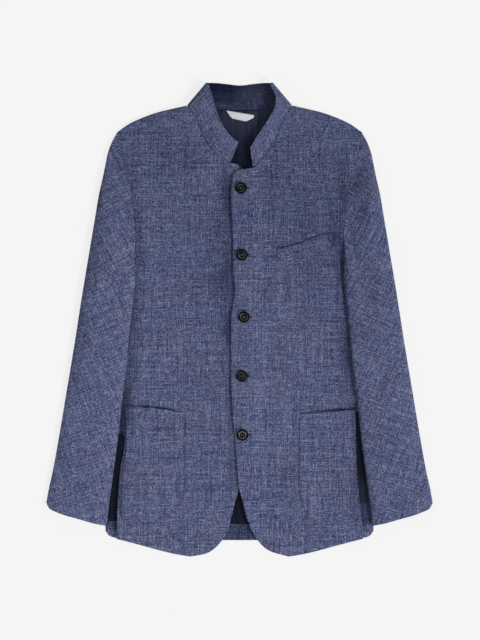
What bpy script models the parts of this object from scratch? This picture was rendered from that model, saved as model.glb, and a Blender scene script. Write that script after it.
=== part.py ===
"""Nehru jacket of slubbed linen, buttoned and laid flat on its back.

X runs across the jacket, Y from the hem to the collar, Z up from the surface it lies on.
Left and right are the wearer's, so the left side of the jacket is at +X.
Tables are in millimetres.
"""

import bpy
import math
import numpy as np

MM = 0.001
WALL = 1.5            # body and sleeve cloth
COLLAR_WALL = 2.0     # collar, two layers of cloth over a stiffener
LINING_WALL = 1.0
PATCH_WALL = 1.4      # pocket and welt cloth
SEAM = 0.35           # space between pieces that are sewn together
ARM_SEAM = 0.65       # the same at the armhole, where both walls lean
LIE = 0.8             # space between layers that lie on each other

CENTRE_X = 1.7        # centre back seam
FRONT_TOP = 5.2       # upper face of the fronts over the lining
EDGE_TOP = 3.0        # upper face of the fronts at the side and shoulder seams
SIDE_FULL = 2.4       # extra height of the fronts along the sides
SIDE_ROLL = 24.0      # width over which the fronts turn down to the side seam
SHOULDER_ROLL = 11.0
ARM_FULL = 2.2        # extra height beside the armhole
NECK_FULL = 3.2       # extra height at the neck point
OVERLAP_LIFT = 3.0    # the left front lies on the right one
OVERLAP_TO = 21.0
OVERLAP_EASE = 26.0
POCKET_FULL = 0.5     # the pockets stand off the fronts a little towards the side
HEM_DROP = 24.0       # length over which the front hem comes down past the back hem

SLEEVE_TOP = 13.5     # sleeve height at mid arm
CUFF_TOP = 11.0
SLEEVE_RISE = 90.0    # length below the armhole over which the sleeve fills out
CLIMB = 16.0          # width over which the under sleeve climbs onto the body's side

BUTTON_R = 10.0
BUTTON_H = 3.4
BUTTON_RIM = 2.2
BUTTON_WELL = 0.9
BUTTON_HOLE_R = 1.05
BUTTON_HOLE_AT = 2.1
BUTTON_SIDES = 24

LABEL_WALL = 0.6

# A row for each section down the body: inner edges of the right and left fronts, outer edge.
# The first eight rows follow the neck seam, the next two the top of the button extension.
BODY = [
    # right_x, right_y, left_x, left_y, outer_x, outer_y
    (-91.4, 369.6, 91.4, 369.6, 210.5, 324.7),
    (-81.9, 357.5, 81.9, 357.5, 209.9, 317.0),
    (-73.3, 344.6, 73.3, 344.6, 208.4, 306.0),
    (-66.4, 325.6, 67.3, 325.6, 206.0, 293.0),
    (-57.8, 308.3, 59.5, 308.3, 201.7, 277.0),
    (-47.4, 292.8, 49.2, 291.1, 196.3, 258.0),
    (-33.6, 281.6, 37.1, 276.4, 190.3, 235.0),
    (-16.0, 270.9, 23.3, 262.3, 186.0, 208.0),
    (-5.2, 268.7, 9.5, 260.4, 183.6, 188.0),
    (4.5, 262.0, -3.5, 257.8, 181.8, 170.0),
    (11.2, 253.1, -10.0, 249.7, 180.2, 155.0),
    (16.4, 235.9, -12.9, 235.9, 179.6, 143.0),
    (18.1, 215.2, -14.7, 215.2, 179.8, 131.0),
    (17.4, 177.2, -13.8, 177.2, 181.1, 116.9),
    (14.7, 132.4, -11.2, 132.4, 185.1, 80.3),
    (13.8, 89.3, -10.7, 89.3, 189.3, 44.9),
    (13.8, 47.9, -7.8, 47.9, 193.7, 10.9),
    (18.1, -0.4, -14.7, -0.4, 198.7, -28.8),
    (18.1, -52.2, -14.7, -52.2, 202.9, -71.3),
    (18.1, -105.7, -14.7, -105.7, 208.2, -115.3),
    (15.9, -139.5, -12.9, -139.5, 211.3, -139.0),
    (14.7, -160.5, -12.3, -160.5, 213.9, -159.0),
    (12.7, -187.0, -9.7, -187.0, 216.1, -182.0),
    (10.9, -206.0, -7.2, -206.0, 217.9, -199.0),
    (8.8, -228.0, -5.7, -228.0, 219.9, -217.0),
    (5.2, -264.4, -3.5, -264.4, 223.2, -245.6),
    (-0.9, -292.8, -0.9, -290.2, 225.9, -268.9),
    (-7.8, -314.4, 4.3, -309.2, 227.5, -286.7),
    (-14.7, -343.7, 11.2, -336.8, 229.4, -310.7),
    (-23.3, -369.6, 18.6, -358.4, 230.8, -332.0),
    (-39.7, -392.0, 34.0, -384.0, 231.5, -350.4),
    (-57.8, -404.1, 52.0, -399.5, 231.8, -360.4),
    (-85.4, -409.6, 85.4, -409.6, 231.5, -365.3),
]
NECK_ROWS = 8
ARM_ROWS = 14

SHOULDER = [
    # x, y
    (91.4, 369.6), (113.9, 364.9), (137.1, 359.6), (168.2, 348.9), (190.6, 338.5), (210.5, 324.7),
]
FRONT_HEM = [
    # x, y
    (85.4, -409.6), (109.5, -405.5), (137.1, -398.9), (164.7, -391.0), (192.3, -383.4),
    (219.9, -375.6), (226.8, -372.2), (231.5, -365.3),
]
BACK_NECK = [
    # x, y
    (1.7, 359.2), (42.3, 361.4), (68.1, 365.2), (85.0, 368.8), (91.4, 369.2),
]
BACK_HEM = [
    # x, y
    (1.7, -381.0), (90.0, -380.4), (170.0, -378.2), (205.0, -378.4), (219.9, -375.9), (226.8, -372.3),
    (231.5, -365.3),
]

# The fronts' side edges where the side vents hold them in from the outline.
VENT = [
    # right_y, right_x, left_y, left_x
    (-186.0, 215.5, -139.0, 211.0),
    (-196.0, 202.5, -147.0, 204.5),
    (-202.0, 198.0, -158.0, 201.0),
    (-222.0, 199.5, -190.0, 200.8),
    (-259.0, 206.1, -259.0, 202.7),
    (-300.0, 209.3, -302.0, 206.1),
    (-337.0, 211.3, -340.0, 210.5),
    (-378.0, 212.5, -377.0, 213.5),
]
VENT_TOP = (-190.0, -150.0)       # height on the right side and on the left one
VENT_TURN = 5.0                   # the back lining stops this far from the side edge in a vent
SIDE_TURN = 13.0                  # and this far above it
HEM_TURN = [
    # x, y of the line where the lining ends and the hem turning starts
    (-232.0, -347.0), (-120.0, -352.0), (60.0, -353.0), (130.0, -336.0), (232.0, -313.0),
]

# A row for each section down the sleeve: outer fold and inner fold.
SLEEVE = [
    # outer_x, outer_y, inner_x, inner_y
    (210.5, 324.7, 181.1, 116.9),
    (219.9, 308.3, 181.0, 108.0),
    (227.7, 287.6, 180.6, 96.0),
    (232.0, 266.9, 180.3, 83.0),
    (236.3, 246.2, 180.3, 68.0),
    (243.2, 215.2, 182.5, 45.0),
    (248.4, 184.1, 185.3, 22.0),
    (258.8, 122.0, 189.9, -20.0),
    (272.6, 39.2, 194.9, -79.8),
    (285.5, -43.6, 203.0, -140.0),
    (299.3, -126.4, 209.9, -204.0),
    (313.1, -209.2, 218.5, -268.0),
    (322.6, -260.9, 224.2, -310.0),
    (329.5, -292.0, 227.3, -336.0),
    (333.8, -316.1, 229.8, -355.8),
]
CUFF = [
    # x, y
    (229.8, -355.8), (247.5, -352.3), (275.1, -344.6), (302.7, -336.8), (316.5, -331.6),
    (328.6, -325.6), (333.8, -316.1),
]

# A row for each section of the collar's fronts, from the fold to the end: the top edge, and its rise
# above the neck seam. The neck seam itself is in BODY.
COLLAR_FRONT = [
    # right_x, right_y, left_x, left_y, rise
    (-47.3, 386.5, 63.0, 386.0, 8.0),
    (-43.2, 371.0, 61.8, 368.5, 8.0),
    (-37.8, 355.0, 55.0, 354.5, 7.6),
    (-31.5, 340.5, 47.6, 341.5, 7.0),
    (-23.8, 327.5, 38.8, 328.5, 6.0),
    (-13.8, 315.6, 29.0, 314.0, 4.8),
    (-1.2, 305.8, 18.8, 296.8, 3.6),
]
# The folds at the neck points: front layer, outermost point and back layer.
FOLD = [
    # seam_x, seam_y, top_x, top_y, top_z
    (86.4, 365.2, 53.5, 404.0, 14.0),
    (90.9, 370.6, 57.6, 409.6, 7.0),
    (84.6, 371.2, 50.5, 409.4, 0.0),
]
COLLAR_BACK = [
    # seam_x, seam_y, top_x, top_y
    (68.1, 366.0, 38.8, 409.0),
    (42.3, 362.2, 23.3, 407.4),
    (1.7, 360.0, 1.2, 404.9),
]

BUTTONS = [
    # x, y
    (2.6, 227.3), (4.3, 111.7), (7.8, 4.7), (4.3, -97.0), (5.2, -198.8),
]
POCKET_TOP = [
    # x, y of the right pocket's mouth, y of the left one's
    (90.0, -161.0, -163.4),
    (110.2, -157.9, -162.2),
    (128.0, -154.6, -160.9),
    (147.5, -152.0, -159.2),
    (165.0, -150.6, -157.4),
    (180.3, -149.6, -155.6),
    (215.0, -148.6, -154.0),
]
POCKET_SIDES = [
    # y, inner_x and outer_x of the right pocket, inner_x and outer_x of the left one
    (-160.0, 95.1, 202.0, 104.6, 197.5),
    (-190.0, 95.1, 196.0, 103.8, 196.8),
    (-225.0, 95.1, 196.0, 103.2, 197.5),
    (-260.0, 95.1, 202.0, 103.0, 199.0),
    (-285.1, 95.2, 203.5, 103.0, 201.0),
    (-303.0, 97.0, 204.5, 104.6, 202.0),
    (-318.0, 100.9, 205.0, 108.2, 203.0),
    (-330.0, 105.6, 205.0, 112.6, 203.5),
    (-338.5, 111.0, 204.0, 117.6, 202.5),
    (-344.5, 118.5, 201.0, 124.5, 199.5),
    (-348.4, 130.0, 192.0, 135.0, 190.0),
]
WELT = [
    # x, top_y, bottom_y
    (64.7, 122.2, 97.6),
    (88.0, 127.8, 104.0),
    (111.0, 135.4, 110.8),
    (134.0, 144.2, 117.6),
    (158.0, 150.8, 124.6),
]
# The neck label, drawn in below where its ends curl under: left and right edges from top to bottom.
LABEL = [
    # left_x, left_y, right_x, right_y
    (-23.0, 361.6, 25.0, 353.4),
    (-19.6, 356.4, 24.6, 349.4),
    (-16.0, 351.6, 17.6, 345.4),
    (-12.4, 347.6, 10.6, 342.4),
]

COLOURS = {
    "linen": ((0.095, 0.108, 0.198), 0.92),
    "lining": ((0.020, 0.023, 0.046), 0.6),
    "button": ((0.018, 0.020, 0.021), 0.35),
    "label": ((0.62, 0.62, 0.64), 0.8),
}

COLUMNS = [0.0, 0.07, 0.16, 0.28, 0.42, 0.56, 0.68, 0.78, 0.86, 0.915, 0.96, 1.0]
BACK_COLUMNS = [0.0, 0.1, 0.21, 0.32, 0.4, 0.43, 0.56, 0.7, 0.83, 0.93, 1.0]


def smooth(t):
    t = np.clip(t, 0.0, 1.0)
    return t * t * (3.0 - 2.0 * t)


def dome(t):
    t = np.clip(t, 0.0, 1.0)
    return np.sqrt(1.0 - (1.0 - t) ** 2)


def table(rows):
    return np.array(rows, dtype=float)


def along(rows, x):
    """Value of a two-column table at x, by straight lines."""
    rows = table(rows)
    order = np.argsort(rows[:, 0])
    return np.interp(x, rows[order, 0], rows[order, 1])


def spaced(rows, at):
    """Rows of a table at fractional row numbers."""
    rows = table(rows)
    steps = np.arange(len(rows))
    return np.stack([np.interp(at, steps, rows[:, k]) for k in range(rows.shape[1])], 1)


def distance(x, y, rows):
    """Distance in plan from points to a line of table rows."""
    rows = table(rows)
    p = np.stack([np.abs(x), y], -1)
    best = np.full(np.shape(x), 1e9)
    for a, b in zip(rows[:-1], rows[1:]):
        ab = b - a
        t = np.clip(((p - a) @ ab) / (ab @ ab), 0.0, 1.0)
        best = np.minimum(best, np.linalg.norm(p - a - t[..., None] * ab, axis=-1))
    return best


ARM_LINE = table(BODY)[:ARM_ROWS, 4:6]
SIDE_LINE = table(BODY)[ARM_ROWS - 1:, 4:6]
NECK_POINT = (91.4, 369.6)


def front_height(x, y, lifted):
    """Upper face of a front panel at points in plan. lifted: the left front, over the right one."""
    x = np.asarray(x, dtype=float)
    y = np.asarray(y, dtype=float)
    side = distance(x, y, SIDE_LINE)
    top = distance(x, y, SHOULDER)
    arm = distance(x, y, ARM_LINE)
    neck = np.hypot(np.abs(x) - NECK_POINT[0], y - NECK_POINT[1])
    full = FRONT_TOP + SIDE_FULL * smooth((95.0 - side) / 75.0)
    full = full + ARM_FULL * smooth((45.0 - arm) / 45.0) * smooth((300.0 - y) / 60.0 + 0.4)
    full = full + NECK_FULL * smooth((62.0 - neck) / 55.0)
    past = along(BACK_HEM, np.abs(x)) - 8.0 - y
    full = full + (WALL + 0.15 - full) * smooth(past / HEM_DROP)
    edge = EDGE_TOP + NECK_FULL * smooth((40.0 - neck) / 40.0)
    edge = np.minimum(edge, full)
    z = edge + (full - edge) * smooth(side / SIDE_ROLL) * dome(top / SHOULDER_ROLL)
    if lifted:
        z = z + OVERLAP_LIFT * smooth((OVERLAP_TO + OVERLAP_EASE - x) / OVERLAP_EASE)
    return z


def front_edge(side, rows):
    """Side edge of a front panel, which leaves the outline at the top of the side vent."""
    vent = table(VENT)[:, 0:2] if side < 0 else table(VENT)[:, 2:4]
    foot = along(FRONT_HEM, vent[-1, 1]) - rows[-1, 1]
    y = rows[:, 1] + foot * smooth((-250.0 - rows[:, 1]) / 115.3)
    x = np.minimum(rows[:, 0], np.interp(-y, -vent[:, 0], vent[:, 1], left=1000.0))
    return np.stack([side * x, y], 1)


def patch(inner, outer, top, bottom, across):
    """Plan of a cloth panel between its four edges, each a line of (x, y)."""
    rows = len(inner)
    down = np.linspace(0.0, 1.0, rows)
    grid = np.zeros((rows, len(across), 2))
    for j, u in enumerate(across):
        grid[:, j] = (1.0 - u) * inner + u * outer
        head = top[j] - (1.0 - u) * inner[0] - u * outer[0]
        foot = bottom[j] - (1.0 - u) * inner[-1] - u * outer[-1]
        grid[:, j] += ((1.0 - down) ** 3)[:, None] * head + (down ** 6)[:, None] * foot
    return grid


def front_plan(side, at, across):
    """side is -1 for the right front and 1 for the left."""
    rows = spaced(BODY, at)
    across = np.asarray(across, dtype=float)
    inner = rows[:, 0:2] if side < 0 else rows[:, 2:4]
    outer = front_edge(side, rows[:, 4:6])
    top_x = inner[0, 0] + across * (outer[0, 0] - inner[0, 0])
    top = np.stack([top_x, along(SHOULDER, np.abs(top_x))], 1)
    foot_x = inner[-1, 0] + across * (outer[-1, 0] - inner[-1, 0])
    foot = np.stack([foot_x, along(FRONT_HEM, np.abs(foot_x))], 1)
    return patch(inner, outer, top, foot, across)


def back_plan(side, at, across, inset=0.0):
    rows = spaced(BODY, at)
    across = np.asarray(across, dtype=float)
    outer = rows[:, 4:6] * (side, 1.0)
    start = CENTRE_X + side * 0.5 * SEAM
    top_x = start + across * (outer[0, 0] - start)
    reach = np.abs(top_x)
    head_y = np.where(reach < 91.4, along(BACK_NECK, reach), along(SHOULDER, reach))
    foot_x = start + across * (outer[-1, 0] - start)
    foot = np.stack([foot_x, along(BACK_HEM, np.abs(foot_x))], 1)
    share = (outer[:, 1] - outer[0, 1]) / (outer[-1, 1] - outer[0, 1])
    inner = np.stack([np.full(len(rows), start), head_y[0] + share * (foot[0, 1] - head_y[0])], 1)
    return patch(inner, outer, np.stack([top_x, head_y], 1), foot, across)


def sleeve_plan(side, at, arm_at):
    """Columns run from the outer fold to the inner one, through the armhole's own points."""
    rows = spaced(SLEEVE, at)
    arm = spaced(ARM_LINE, arm_at) + (ARM_SEAM, 0.0)
    outer = rows[:, 0:2].copy()
    inner = rows[:, 2:4].copy()
    outer[0] = arm[0]
    inner[0] = arm[-1]
    across = (arm[0, 1] - arm[:, 1]) / (arm[0, 1] - arm[-1, 1])
    foot_x = outer[-1, 0] + across * (inner[-1, 0] - outer[-1, 0])
    foot = np.stack([foot_x, along(CUFF, foot_x)], 1)
    return patch(outer, inner, arm, foot, across) * (side, 1.0), across


def under_height(x, y):
    """Upper face of the under sleeve, flat on the surface and climbing onto the body's side seam."""
    out = np.abs(x) - np.interp(-y, -SIDE_LINE[:, 1], SIDE_LINE[:, 0])
    away = distance(x, y, SIDE_LINE)
    within = (out < 0.0) & (y < SIDE_LINE[0, 1])
    ramp = smooth((CLIMB - away) / (CLIMB - 2.0))
    climb = np.where(within, front_height(x, y, False) + LIE, ramp * (EDGE_TOP + LIE))
    return WALL + climb


def sleeve_height(side, grid, across, at):
    """Upper face of the top sleeve over its plan."""
    x, y = grid[..., 0], grid[..., 1]
    under = under_height(x, y)
    rest = under + SEAM + 0.8 * WALL
    down = np.asarray(at, dtype=float) / (len(SLEEVE) - 1.0)
    reach = np.abs(y - y[0:1]) + 1e-6
    length = smooth(reach / SLEEVE_RISE)
    crown = SLEEVE_TOP + (CUFF_TOP - SLEEVE_TOP) * smooth((down - 0.45) / 0.5)[:, None]
    bulge = (1.0 - np.abs(2.0 * across - 1.0) ** 2.6) ** (1.0 / 2.2)
    edge = rest[:, :1] + (rest[:, -1:] - rest[:, :1]) * across[None, :]
    full = edge + (crown - edge) * bulge[None, :]
    seam = front_height(x[0] - side * ARM_SEAM, y[0], side > 0)
    fit = seam[None, :] + 0.0 * full
    z = fit + (full - fit) * length
    return np.maximum(z, rest)


def mesh_object(name, verts, faces, material):
    mesh = bpy.data.meshes.new(name)
    mesh.from_pydata([tuple(float(c) * MM for c in v) for v in verts], [], faces)
    mesh.validate()
    mesh.materials.append(MATERIALS[material])
    mesh.shade_smooth()
    obj = bpy.data.objects.new(name, mesh)
    BODY_PARTS.objects.link(obj)
    return obj


def cloth(name, points, wall, material, up=True):
    """A grid of points as the outer face of a wall, whose thickness lies on its inner side."""
    rows, cols = points.shape[:2]
    faces = []
    for i in range(rows - 1):
        for j in range(cols - 1):
            a = i * cols + j
            faces.append((a, a + cols, a + cols + 1, a + 1))
    first = points[faces[0][1] // cols, faces[0][1] % cols] - points[0, 0]
    second = points[0, 1] - points[0, 0]
    facing = first[0] * second[1] - first[1] * second[0]
    if (facing < 0) == up:
        faces = [f[::-1] for f in faces]
    obj = mesh_object(name, points.reshape(-1, 3), faces, material)
    shell = obj.modifiers.new("Wall", "SOLIDIFY")
    shell.thickness = wall * MM
    shell.offset = -1.0
    shell.use_even_offset = False
    obj.data.set_sharp_from_angle(angle=math.radians(50.0))
    return obj


def stand(plan, height):
    return np.concatenate([plan, np.asarray(height)[..., None]], -1)


def add_backs():
    at = [0, 1, 2, 3, 4, 5, 6, 7, 8, 9, 10, 11, 12, 13, 15, 17, 19, 21, 23, 25, 27, 29, 31, 32]
    for side, name in ((1.0, "back_left"), (-1.0, "back_right")):
        plan = back_plan(side, at, BACK_COLUMNS)
        cloth(name, stand(plan, np.full(plan.shape[:2], WALL)), WALL, "linen")


def lining_edge(side, y):
    """Distance of the lining's edge from the centre line: it reaches further out in the vents."""
    outer = table(BODY)[:, 4:6]
    top = VENT_TOP[0] if side < 0 else VENT_TOP[1]
    turn = SIDE_TURN + (VENT_TURN - SIDE_TURN) * smooth((top - y) / 13.0)
    return np.interp(-y, -outer[:, 1], outer[:, 0]) - turn


def add_lining():
    """The back lining, inside the edges of the back panels and down to the turned-up hem."""
    x = np.array([-0.955, -0.88, -0.74, -0.56, -0.4, -0.2, 0.0, 0.2, 0.4, 0.56, 0.74, 0.88, 0.955])
    levels = [-310.0, -260.0, -230.0, -203.0, -190.0, -163.0, -150.0, -90.0, -20.0, 50.0, 110.0]
    outer = table(BODY)[:, 4:6]
    foot = []
    for share in x / 0.955:
        edge = lining_edge(share, -320.0)
        foot.append((share * edge, along(HEM_TURN, share * edge)))
    rows = [np.array(foot)]
    for y in levels:
        xs = np.array([share * lining_edge(share, y) for share in x / 0.955])
        rows.append(np.stack([xs, np.full(len(x), y)], 1))
    for share in (0.25, 0.5, 0.75, 1.0):
        edge = np.interp(-(110.0 + share * 195.0), -outer[:, 1], outer[:, 0]) - 9.0
        xs = x / 0.955 * edge
        reach = np.abs(xs)
        head = np.where(reach < 91.4, along(BACK_NECK, reach) - 1.0, along(SHOULDER, reach) - 9.0)
        head = np.minimum(head, 360.0)
        rows.append(np.stack([xs, 110.0 + share * (head - 110.0)], 1))
    plan = np.array(rows[::-1])
    top = WALL + 0.3 + LINING_WALL
    cloth("back_lining", stand(plan, np.full(plan.shape[:2], top)), LINING_WALL, "lining")


def add_back_hem():
    """The hem turning, inside the bottom of the back."""
    left = [-228.5, -220.0, -200.0, -160.0, -120.0, -60.0, 0.0]
    x = np.array(left + [60.0, 130.0, 160.0, 200.0, 220.0, 228.5])
    foot = along(BACK_HEM, np.abs(x)) + 0.4
    head = along(HEM_TURN, x) - 0.4
    plan = np.stack([np.stack([x, head], 1), np.stack([x, foot], 1)], 0)
    top = WALL + 0.3 + LINING_WALL
    cloth("back_hem", stand(plan, np.full(plan.shape[:2], top)), LINING_WALL, "linen")


def add_fronts():
    at = np.arange(len(BODY))
    for side, name in ((-1.0, "front_right"), (1.0, "front_left")):
        plan = front_plan(side, at, COLUMNS)
        z = front_height(plan[..., 0], plan[..., 1], side > 0)
        cloth(name, stand(plan, z), WALL, "linen")


def add_sleeves():
    at = np.arange(len(SLEEVE))
    arm_at = np.arange(ARM_ROWS)
    for side, name in ((-1.0, "sleeve_right"), (1.0, "sleeve_left")):
        plan, across = sleeve_plan(side, at, arm_at)
        under = under_height(plan[..., 0], plan[..., 1])
        cloth(name + "_under", stand(plan, under), WALL, "linen")
        top = sleeve_height(side, plan, across, at)
        cloth(name + "_top", stand(plan, top), WALL, "linen")


def collar_rows():
    """Seam and top points of the collar band, from the right front end round the neck to the left one."""
    body = table(BODY)
    back = table(COLLAR_BACK)
    fold = table(FOLD)
    stations = []
    for side in (-1.0, 1.0):
        half = []
        seam = body[:NECK_ROWS, 0:2] if side < 0 else body[:NECK_ROWS, 2:4]
        for k in range(NECK_ROWS - 1, 0, -1):
            row = COLLAR_FRONT[k - 1]
            top = np.array(row[0:2] if side < 0 else row[2:4])
            z = float(front_height(seam[k, 0], seam[k, 1], side > 0)) + 0.5
            step = top - seam[k]
            low = seam[k] + step / np.linalg.norm(step) * (SEAM + 0.1)
            half.append((*low, z, *top, z + row[4]))
        seam_z = half[-1][2]
        front, tip, rear = fold
        for turn in (90.0, 55.0, 20.0, -20.0, -55.0, -90.0):
            a = math.radians(turn)
            blend = math.cos(a)
            mid = front if turn > 0 else rear
            xy = mid + (tip - mid) * blend
            low_z = seam_z * 0.5 * (1.0 + math.sin(a))
            top_z = front[4] * 0.5 * (1.0 + math.sin(a))
            half.append((side * xy[0], xy[1], low_z, side * xy[2], xy[3], top_z))
        for row in back[:-1]:
            half.append((side * row[0], row[1], 0.0, side * row[2], row[3], 0.0))
        if side < 0:
            stations += half + [(back[-1][0], back[-1][1], 0.0, back[-1][2], back[-1][3], 0.0)]
        else:
            stations += half[::-1]
    return np.array(stations)


def add_collar():
    rows = collar_rows()
    up = np.array([0.0, 0.3, 0.65, 1.0])[None, :, None]
    low = rows[:, None, 0:3]
    top = rows[:, None, 3:6]
    cloth("collar", low + (top - low) * up, COLLAR_WALL, "linen")


def column_x(plan, j, y):
    line = plan[:, j]
    return np.interp(-y, -line[:, 1], line[:, 0])


def add_pockets():
    """Patch pockets, made on the front panel's own columns and moved out from it."""
    at = np.arange(len(BODY))
    sides = table(POCKET_SIDES)
    levels = [-160.0, -190.0, -225.0, -260.0, -285.1, -303.0, -318.0, -330.0, -338.5, -344.5, -348.4]
    for side, name in ((-1.0, "pocket_right"), (1.0, "pocket_left")):
        plan = front_plan(side, at, COLUMNS)
        rows = []
        for y in levels:
            inner = np.interp(-y, -sides[:, 0], sides[:, 1 if side < 0 else 3])
            outer = np.interp(-y, -sides[:, 0], sides[:, 2 if side < 0 else 4])
            mids = [abs(column_x(plan, j, y)) for j in range(6, 11)]
            mids = np.clip(mids, inner + 2.0, outer - 2.0 - 1.5 * np.arange(4, -1, -1))
            mids = np.maximum.accumulate(mids + 0.8 * np.arange(5) * (mids <= inner + 2.0))
            rows.append([(x, y) for x in (inner, *mids, outer)])
        rows = np.array(rows)
        tops = table(POCKET_TOP)
        rows[0, :, 1] = np.interp(rows[0, :, 0], tops[:, 0], tops[:, 1 if side < 0 else 2])
        rows = rows * (side, 1.0)
        z = front_height(rows[..., 0], rows[..., 1], side > 0) + SEAM + PATCH_WALL
        z = z + POCKET_FULL * smooth((np.abs(rows[..., 0]) - 150.0) / 35.0)
        cloth(name, stand(rows, z), PATCH_WALL, "linen")


def add_welt():
    """The slanted band of the breast pocket, on the left front."""
    rows = table(WELT)
    share = np.array([0.0, 0.5, 1.0])[:, None]
    x = rows[None, :, 0] + 0.0 * share
    y = rows[None, :, 1] + share * (rows[None, :, 2] - rows[None, :, 1])
    plan = np.stack([x, y], -1)
    z = front_height(x, y, True) + SEAM + PATCH_WALL
    cloth("breast_pocket", stand(plan, z), PATCH_WALL, "linen")


def add_label():
    """A small woven tape below the back collar, on the lining."""
    rows = table(LABEL)
    u = np.linspace(0.0, 1.0, 4)[None, :, None]
    plan = rows[:, None, 0:2] * (1.0 - u) + rows[:, None, 2:4] * u
    top = WALL + 0.3 + LINING_WALL + 0.3 + LABEL_WALL
    cloth("neck_label", stand(plan, np.full(plan.shape[:2], top)), LABEL_WALL, "label")


def lathe(name, profile, sides, material):
    """A solid of revolution from rows of radius and height, closed on the axis at both ends."""
    verts = [(0.0, 0.0, profile[0][1])]
    for radius, height in profile[1:-1]:
        for k in range(sides):
            a = 2.0 * math.pi * k / sides
            verts.append((radius * math.cos(a), radius * math.sin(a), height))
    verts.append((0.0, 0.0, profile[-1][1]))
    faces = []
    rings = len(profile) - 2
    for k in range(sides):
        n = (k + 1) % sides
        faces.append((0, 1 + n, 1 + k))
        for r in range(rings - 1):
            a = 1 + r * sides
            faces.append((a + k, a + n, a + sides + n, a + sides + k))
        a = 1 + (rings - 1) * sides
        faces.append((a + k, a + n, len(verts) - 1))
    return mesh_object(name, verts, faces, material)


def add_buttons():
    profile = [
        # radius, height
        (0.0, 0.0),
        (BUTTON_R * 0.72, 0.0),
        (BUTTON_R, 1.2),
        (BUTTON_R, BUTTON_H - 0.8),
        (BUTTON_R - 0.9, BUTTON_H),
        (BUTTON_R - BUTTON_RIM, BUTTON_H),
        (BUTTON_R - BUTTON_RIM - 1.2, BUTTON_H - BUTTON_WELL),
        (0.0, BUTTON_H - BUTTON_WELL),
    ]
    for k, (x, y) in enumerate(BUTTONS):
        around = front_height(np.array([x, x - 8.0, x + 8.0]), np.array([y, y, y]), True)
        base = float(np.max(around)) + SEAM
        obj = lathe("button_%d" % (k + 1), profile, BUTTON_SIDES, "button")
        obj.location = (x * MM, y * MM, base * MM)
        for a in (45.0, 135.0, 225.0, 315.0):
            turn = math.radians(a)
            bpy.ops.mesh.primitive_cylinder_add(
                vertices=8, radius=BUTTON_HOLE_R * MM, depth=3.0 * BUTTON_H * MM,
                location=((x + BUTTON_HOLE_AT * math.cos(turn)) * MM,
                          (y + BUTTON_HOLE_AT * math.sin(turn)) * MM,
                          (base + 0.5 * BUTTON_H) * MM))
            pin = bpy.context.object
            pin.name = "hole_cutter_%d_%d" % (k + 1, int(a))
            pin.hide_render = True
            pin.display_type = "WIRE"
            for home in list(pin.users_collection):
                home.objects.unlink(pin)
            CUTTERS.objects.link(pin)
            cut = obj.modifiers.new("Hole", "BOOLEAN")
            cut.operation = "DIFFERENCE"
            cut.solver = "EXACT"
            cut.object = pin


def make_material(name, colour, roughness):
    material = bpy.data.materials.new(name)
    material.use_nodes = True
    shader = material.node_tree.nodes["Principled BSDF"]
    shader.inputs["Base Color"].default_value = (*colour, 1.0)
    shader.inputs["Roughness"].default_value = roughness
    shader.inputs["Metallic"].default_value = 0.0
    return material


for old in list(bpy.data.objects):
    bpy.data.objects.remove(old, do_unlink=True)
BODY_PARTS = bpy.data.collections.new("nehru_jacket")
bpy.context.scene.collection.children.link(BODY_PARTS)
CUTTERS = bpy.data.collections.new("cutters")
bpy.context.scene.collection.children.link(CUTTERS)
MATERIALS = {key: make_material(key, *value) for key, value in COLOURS.items()}

add_backs()
add_lining()
add_back_hem()
add_fronts()
add_sleeves()
add_collar()
add_pockets()
add_welt()
add_label()
add_buttons()
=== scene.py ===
"""Nehru jacket of slubbed linen, buttoned and laid flat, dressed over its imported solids.

X runs across the jacket, Y from the hem to the collar, Z up. Tables are in millimetres.
"""

import math

import bpy
import numpy as np
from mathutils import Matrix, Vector


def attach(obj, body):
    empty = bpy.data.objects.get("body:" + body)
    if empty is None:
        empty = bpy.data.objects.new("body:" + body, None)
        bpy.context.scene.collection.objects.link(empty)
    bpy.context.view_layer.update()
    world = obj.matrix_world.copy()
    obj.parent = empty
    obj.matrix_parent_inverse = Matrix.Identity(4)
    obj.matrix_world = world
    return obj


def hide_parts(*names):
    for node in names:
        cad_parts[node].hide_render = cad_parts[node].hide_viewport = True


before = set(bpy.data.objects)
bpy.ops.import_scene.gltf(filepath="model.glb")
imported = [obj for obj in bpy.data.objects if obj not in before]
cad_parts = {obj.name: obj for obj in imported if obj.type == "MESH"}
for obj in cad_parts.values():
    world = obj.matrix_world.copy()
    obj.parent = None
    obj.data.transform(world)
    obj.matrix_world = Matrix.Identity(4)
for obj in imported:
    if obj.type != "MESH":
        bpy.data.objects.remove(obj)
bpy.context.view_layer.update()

MM = 0.001
WALL = 1.5
COLLAR_WALL = 2.0
LINING_WALL = 1.0
PATCH_WALL = 1.3
LABEL_WALL = 0.5
LINING_TOP = WALL + 0.3 + LINING_WALL
LABEL_LIFT = 1.45
SEAM = 0.12
ARM_SEAM = 0.2
LIE = 0.7
POCKET_FULL = 0.5

CENTRE_X = 1.7
FRONT_TOP = 5.2
EDGE_TOP = 3.0
SIDE_FULL = 2.4
SIDE_ROLL = 25.0
VALLEY = 9.0
SHOULDER_ROLL = 11.0
ARM_FULL = 2.2
NECK_FULL = 3.2
OVERLAP_LIFT = 3.0
OVERLAP_TO = 21.0
OVERLAP_EASE = 26.0
HEM_DROP = 24.0
SLEEVE_TOP = 13.5
CUFF_TOP = 11.0
SLEEVE_RISE = 90.0
CLIMB = 16.0

# The view: millimetres to a pixel of the frame, and the frame's height in pixels.
PIXEL = 1.725
VIEW_PIXELS = 640

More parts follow.
